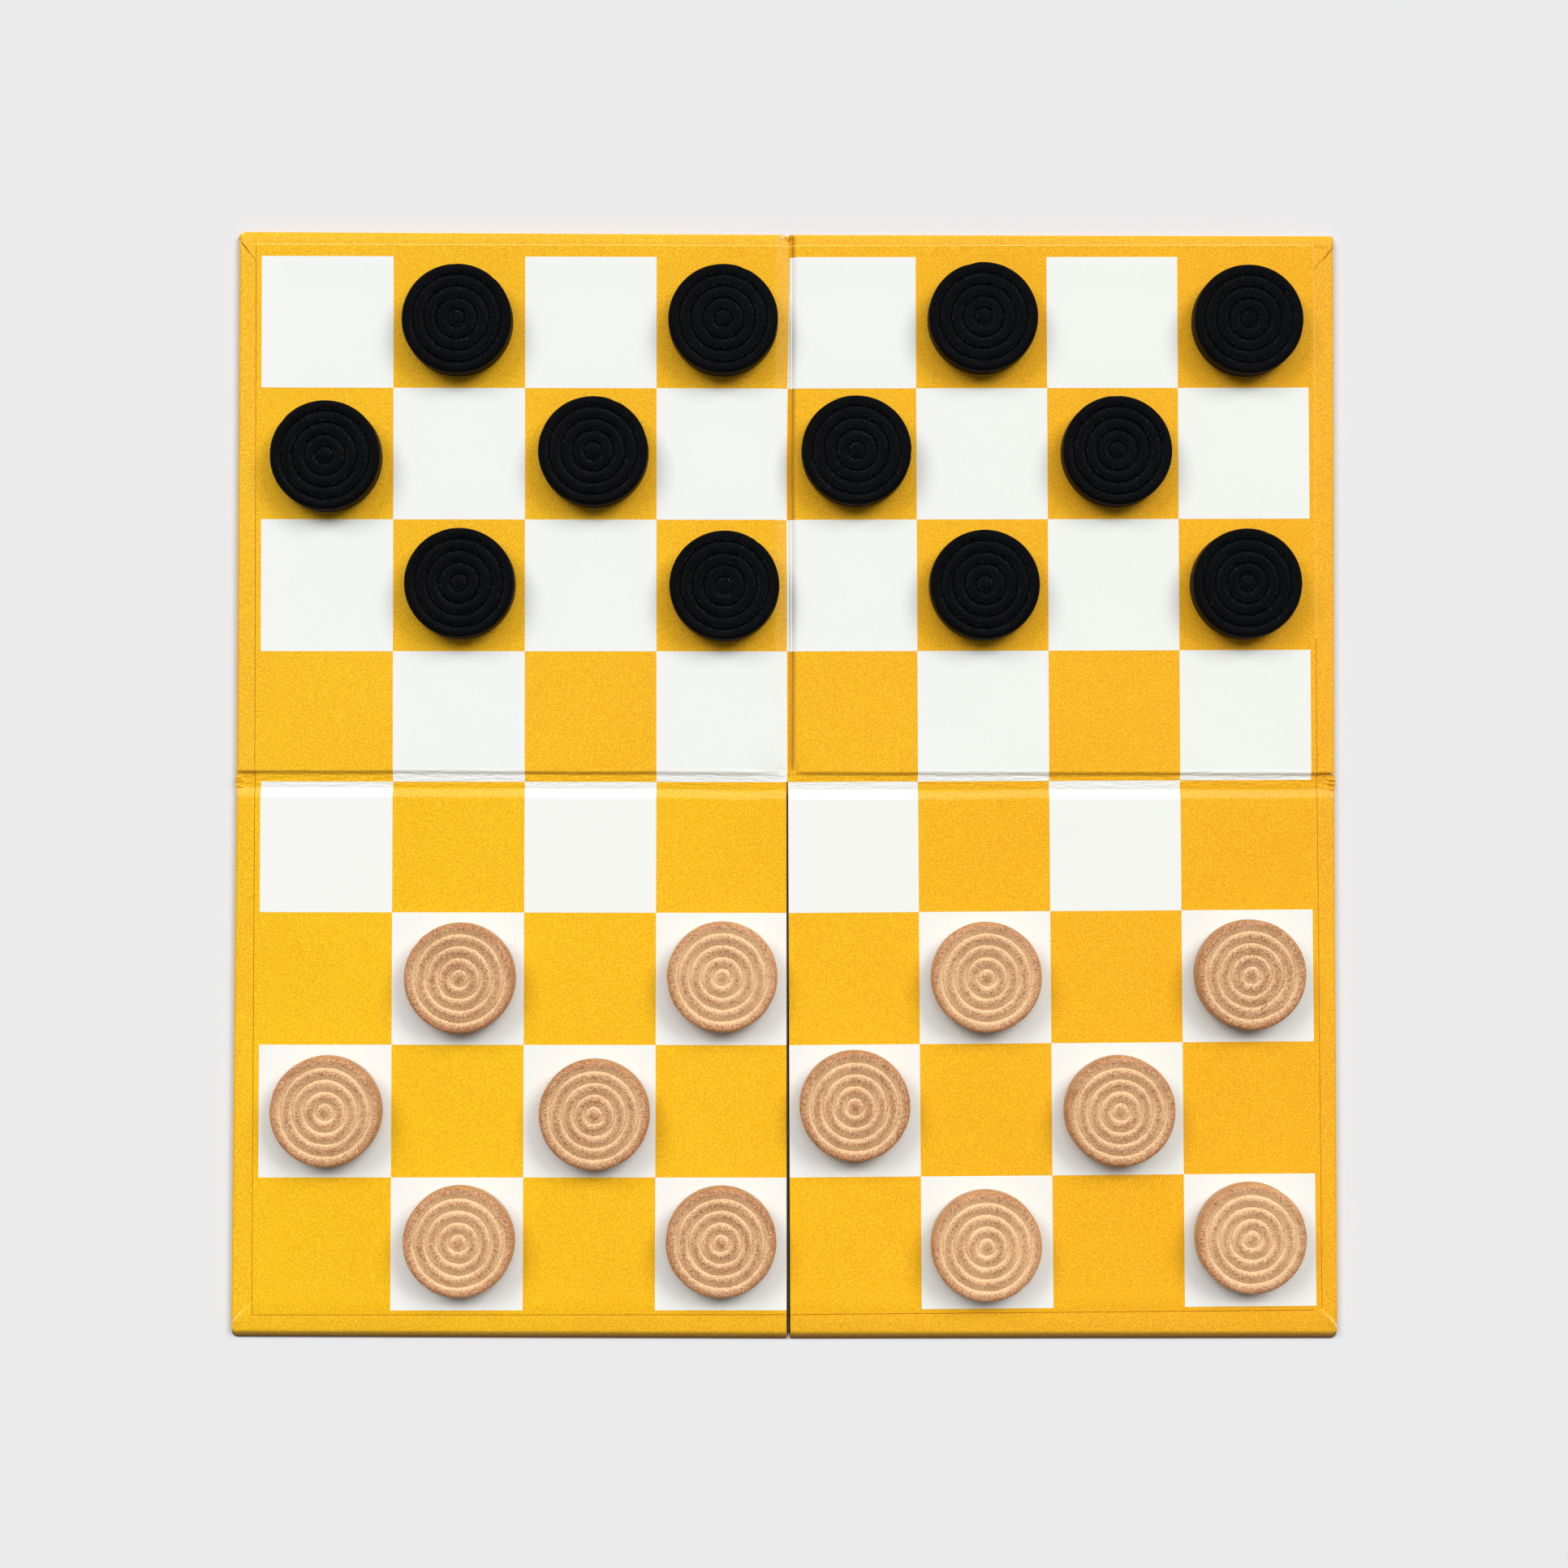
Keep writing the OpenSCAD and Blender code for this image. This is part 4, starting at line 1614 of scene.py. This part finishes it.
    def build(self) -> bpy.types.Object:
        """Turns the man.

        Returns:
            The piece.
        """
        half = self.half_section()
        section = half + [(r, -z) for r, z in reversed(half)]
        bm = bmesh.new()
        verts = [bm.verts.new((r, 0, z)) for r, z in section]
        edges = [bm.edges.new(pair) for pair in zip(verts, verts[1:])]
        bmesh.ops.spin(
            bm,
            geom=verts + edges,
            cent=(0, 0, 0),
            axis=(0, 0, 1),
            angle=2 * math.pi,
            steps=self.steps,
            use_merge=True,
        )
        bmesh.ops.remove_doubles(bm, verts=bm.verts, dist=1e-4)
        bmesh.ops.recalc_face_normals(bm, faces=bm.faces)
        places = read_places(bm)
        radius = np.hypot(places[:, 0], places[:, 1])
        ring = (radius - self.knob_r) / self.ring_pitch
        off_groove = np.abs(ring - np.round(ring).clip(0, self.ring_count)) * self.ring_pitch
        face = smooth(np.abs(places[:, 2]), self.height / 2 - 1.2, self.height / 2 - 0.7)
        natural = self.wood is Wood.NATURAL
        mark_vertices(bm, "groove", bell(off_groove, 0, 1.1) * face)
        # Band beside each groove that carries the black wood's painted glints and worn stain.
        mark_vertices(bm, "lip", bell(off_groove, 0.5, 0.3))
        mark_vertices(bm, "edge", smooth(radius, self.radius - 0.5, self.radius - 0.05) * 0.85)
        mark_vertices(bm, "tone", np.full(len(places), self.draw.uniform(-0.1, 0.22)))
        veined = natural and self.number == self.veined
        mark_vertices(bm, "vein", np.full(len(places), 0.8 if veined else 0.12))
        turn = Euler((0.0, self.draw.uniform(-0.12, 0.12), self.draw.uniform(0, math.pi))).to_matrix()
        mark_vertices(bm, "grain", places @ np.array(turn) + self.draw.uniform(-300, 300, 3))
        write_places(bm, self.worn(places) + np.array(self.centre))
        material = self.finishes.bare_wood if natural else self.finishes.stained_wood
        return finish_piece(bm, "turned_" + self.node, [self.node], [material], 0, 55)


@dataclass(frozen=True)
class Lamp:
    """A large soft lamp far away, as the light it brings to a level surface and where it stands.

    Attributes:
        name: What it is called.
        level: Share of full light that it brings to a level surface.
        azimuth: Where it stands, in degrees from the far side towards the right.
        elevation: How high it stands, in degrees.
        spread: How wide it looks from the board, in degrees.
    """

    name: str
    level: float
    azimuth: float
    elevation: float
    spread: float

    def hang(self) -> bpy.types.Object:
        """Hangs the lamp.

        Returns:
            The lamp.
        """
        data = bpy.data.lights.new(self.name, "SUN")
        rise = math.radians(self.elevation)
        data.energy = self.level * math.pi / math.sin(rise)
        data.angle = math.radians(self.spread)
        lamp = new_object(self.name, data)
        turn = math.radians(self.azimuth)
        lamp.location = (math.sin(turn) * math.cos(rise), math.cos(turn) * math.cos(rise), math.sin(rise))
        lamp.rotation_euler = lamp.location.to_track_quat("Z", "Y").to_euler()
        return lamp


@dataclass
class Studio:
    """The pale floor, the lamps and the camera, which looks almost straight down.

    Attributes:
        lamps: The lamps.
        sky: Strength of the light from all round.
        floor_tone: Colour of the floor.
        backdrop: Colour that the camera sees beyond the floor.
        floor_half: Half width of the floor, in metres.
        floor_drop: How far the floor lies below the board.
        camera_at: Where the camera stands.
        camera_turn: How it is turned from looking straight down, in degrees.
        view_angle: How wide it sees, in degrees.
    """

    lamps: tuple[Lamp, ...] = (
        Lamp("right_softbox", 0.37, 47, 45, 28),
        Lamp("left_softbox", 0.3, -47, 45, 28),
        Lamp("high_softbox", 0.24, 4, 68, 30),
    )
    sky: float = 0.17
    floor_tone: Colour = (230, 230, 231)
    backdrop: Colour = (235, 235, 235)
    floor_half: float = 6.0
    floor_drop: float = 0.02
    camera_at: tuple[float, float, float] = (-13.71, -15.03, 850.33)
    camera_turn: tuple[float, float, float] = (1.030, -0.857, 0.098)
    view_angle: float = 30.0

    def floor(self) -> bpy.types.Object:
        """Lays the floor just below the board.

        Returns:
            The floor.
        """
        bm = bmesh.new()
        bmesh.ops.create_grid(bm, x_segments=8, y_segments=8, size=self.floor_half)
        bmesh.ops.translate(bm, vec=(0, 0, -self.floor_drop * MM), verts=bm.verts)
        floor = mesh_object(bm, "floor")
        floor.data.materials.append(Recipe("floor_paper").finish({
            "Base Color": linear(self.floor_tone),
            "Roughness": 0.9,
            "Specular IOR Level": 0.0,
        }))
        return floor

    def world(self) -> None:
        """Sets the soft light all round, with the backdrop's colour where the camera sees it."""
        world = bpy.data.worlds.new("studio")
        world.use_nodes = True
        nodes, links = world.node_tree.nodes, world.node_tree.links
        nodes.clear()
        light = nodes.new("ShaderNodeBackground")
        light.inputs["Strength"].default_value = self.sky
        seen = nodes.new("ShaderNodeBackground")
        seen.inputs["Color"].default_value = linear(self.backdrop)
        path, mix, output = (nodes.new("ShaderNode" + k) for k in ("LightPath", "MixShader", "OutputWorld"))
        links.new(path.outputs["Is Camera Ray"], mix.inputs[0])
        links.new(light.outputs[0], mix.inputs[1])
        links.new(seen.outputs[0], mix.inputs[2])
        links.new(mix.outputs[0], output.inputs[0])
        bpy.context.scene.world = world

    def camera(self) -> bpy.types.Object:
        """Places the camera as it stood for the photograph.

        Returns:
            The camera.
        """
        data = bpy.data.cameras.new("camera")
        data.angle = math.radians(self.view_angle)
        data.clip_start, data.clip_end = 0.01, 50
        camera = new_object("camera", data)
        camera.location = Vector(self.camera_at) * MM
        camera.rotation_euler = Euler([math.radians(turn) for turn in self.camera_turn])
        bpy.context.scene.camera = camera
        return camera

    def build(self) -> None:
        """Builds the whole studio."""
        self.floor()
        self.world()
        for lamp in self.lamps:
            lamp.hang()
        self.camera()
        bpy.context.scene.view_settings.view_transform = "Standard"
        LOG.info("studio: floor, %d lamps, sky and camera", len(self.lamps))


def main() -> None:
    """Builds the studio and every piece of the set, in order."""
    logging.basicConfig(level=logging.INFO, format="%(name)s %(message)s")
    Studio().build()
    finishes, board = Finishes(), Board()
    Greyboards(board, finishes).build()
    CoverPaper(board, finishes).build()
    PlaySheet(board, finishes).build()
    for wood in Wood:
        for number in range(1, MEN_PER_SIDE + 1):
            Man(wood, number, finishes).build()


if __name__ == "__main__":
    main()
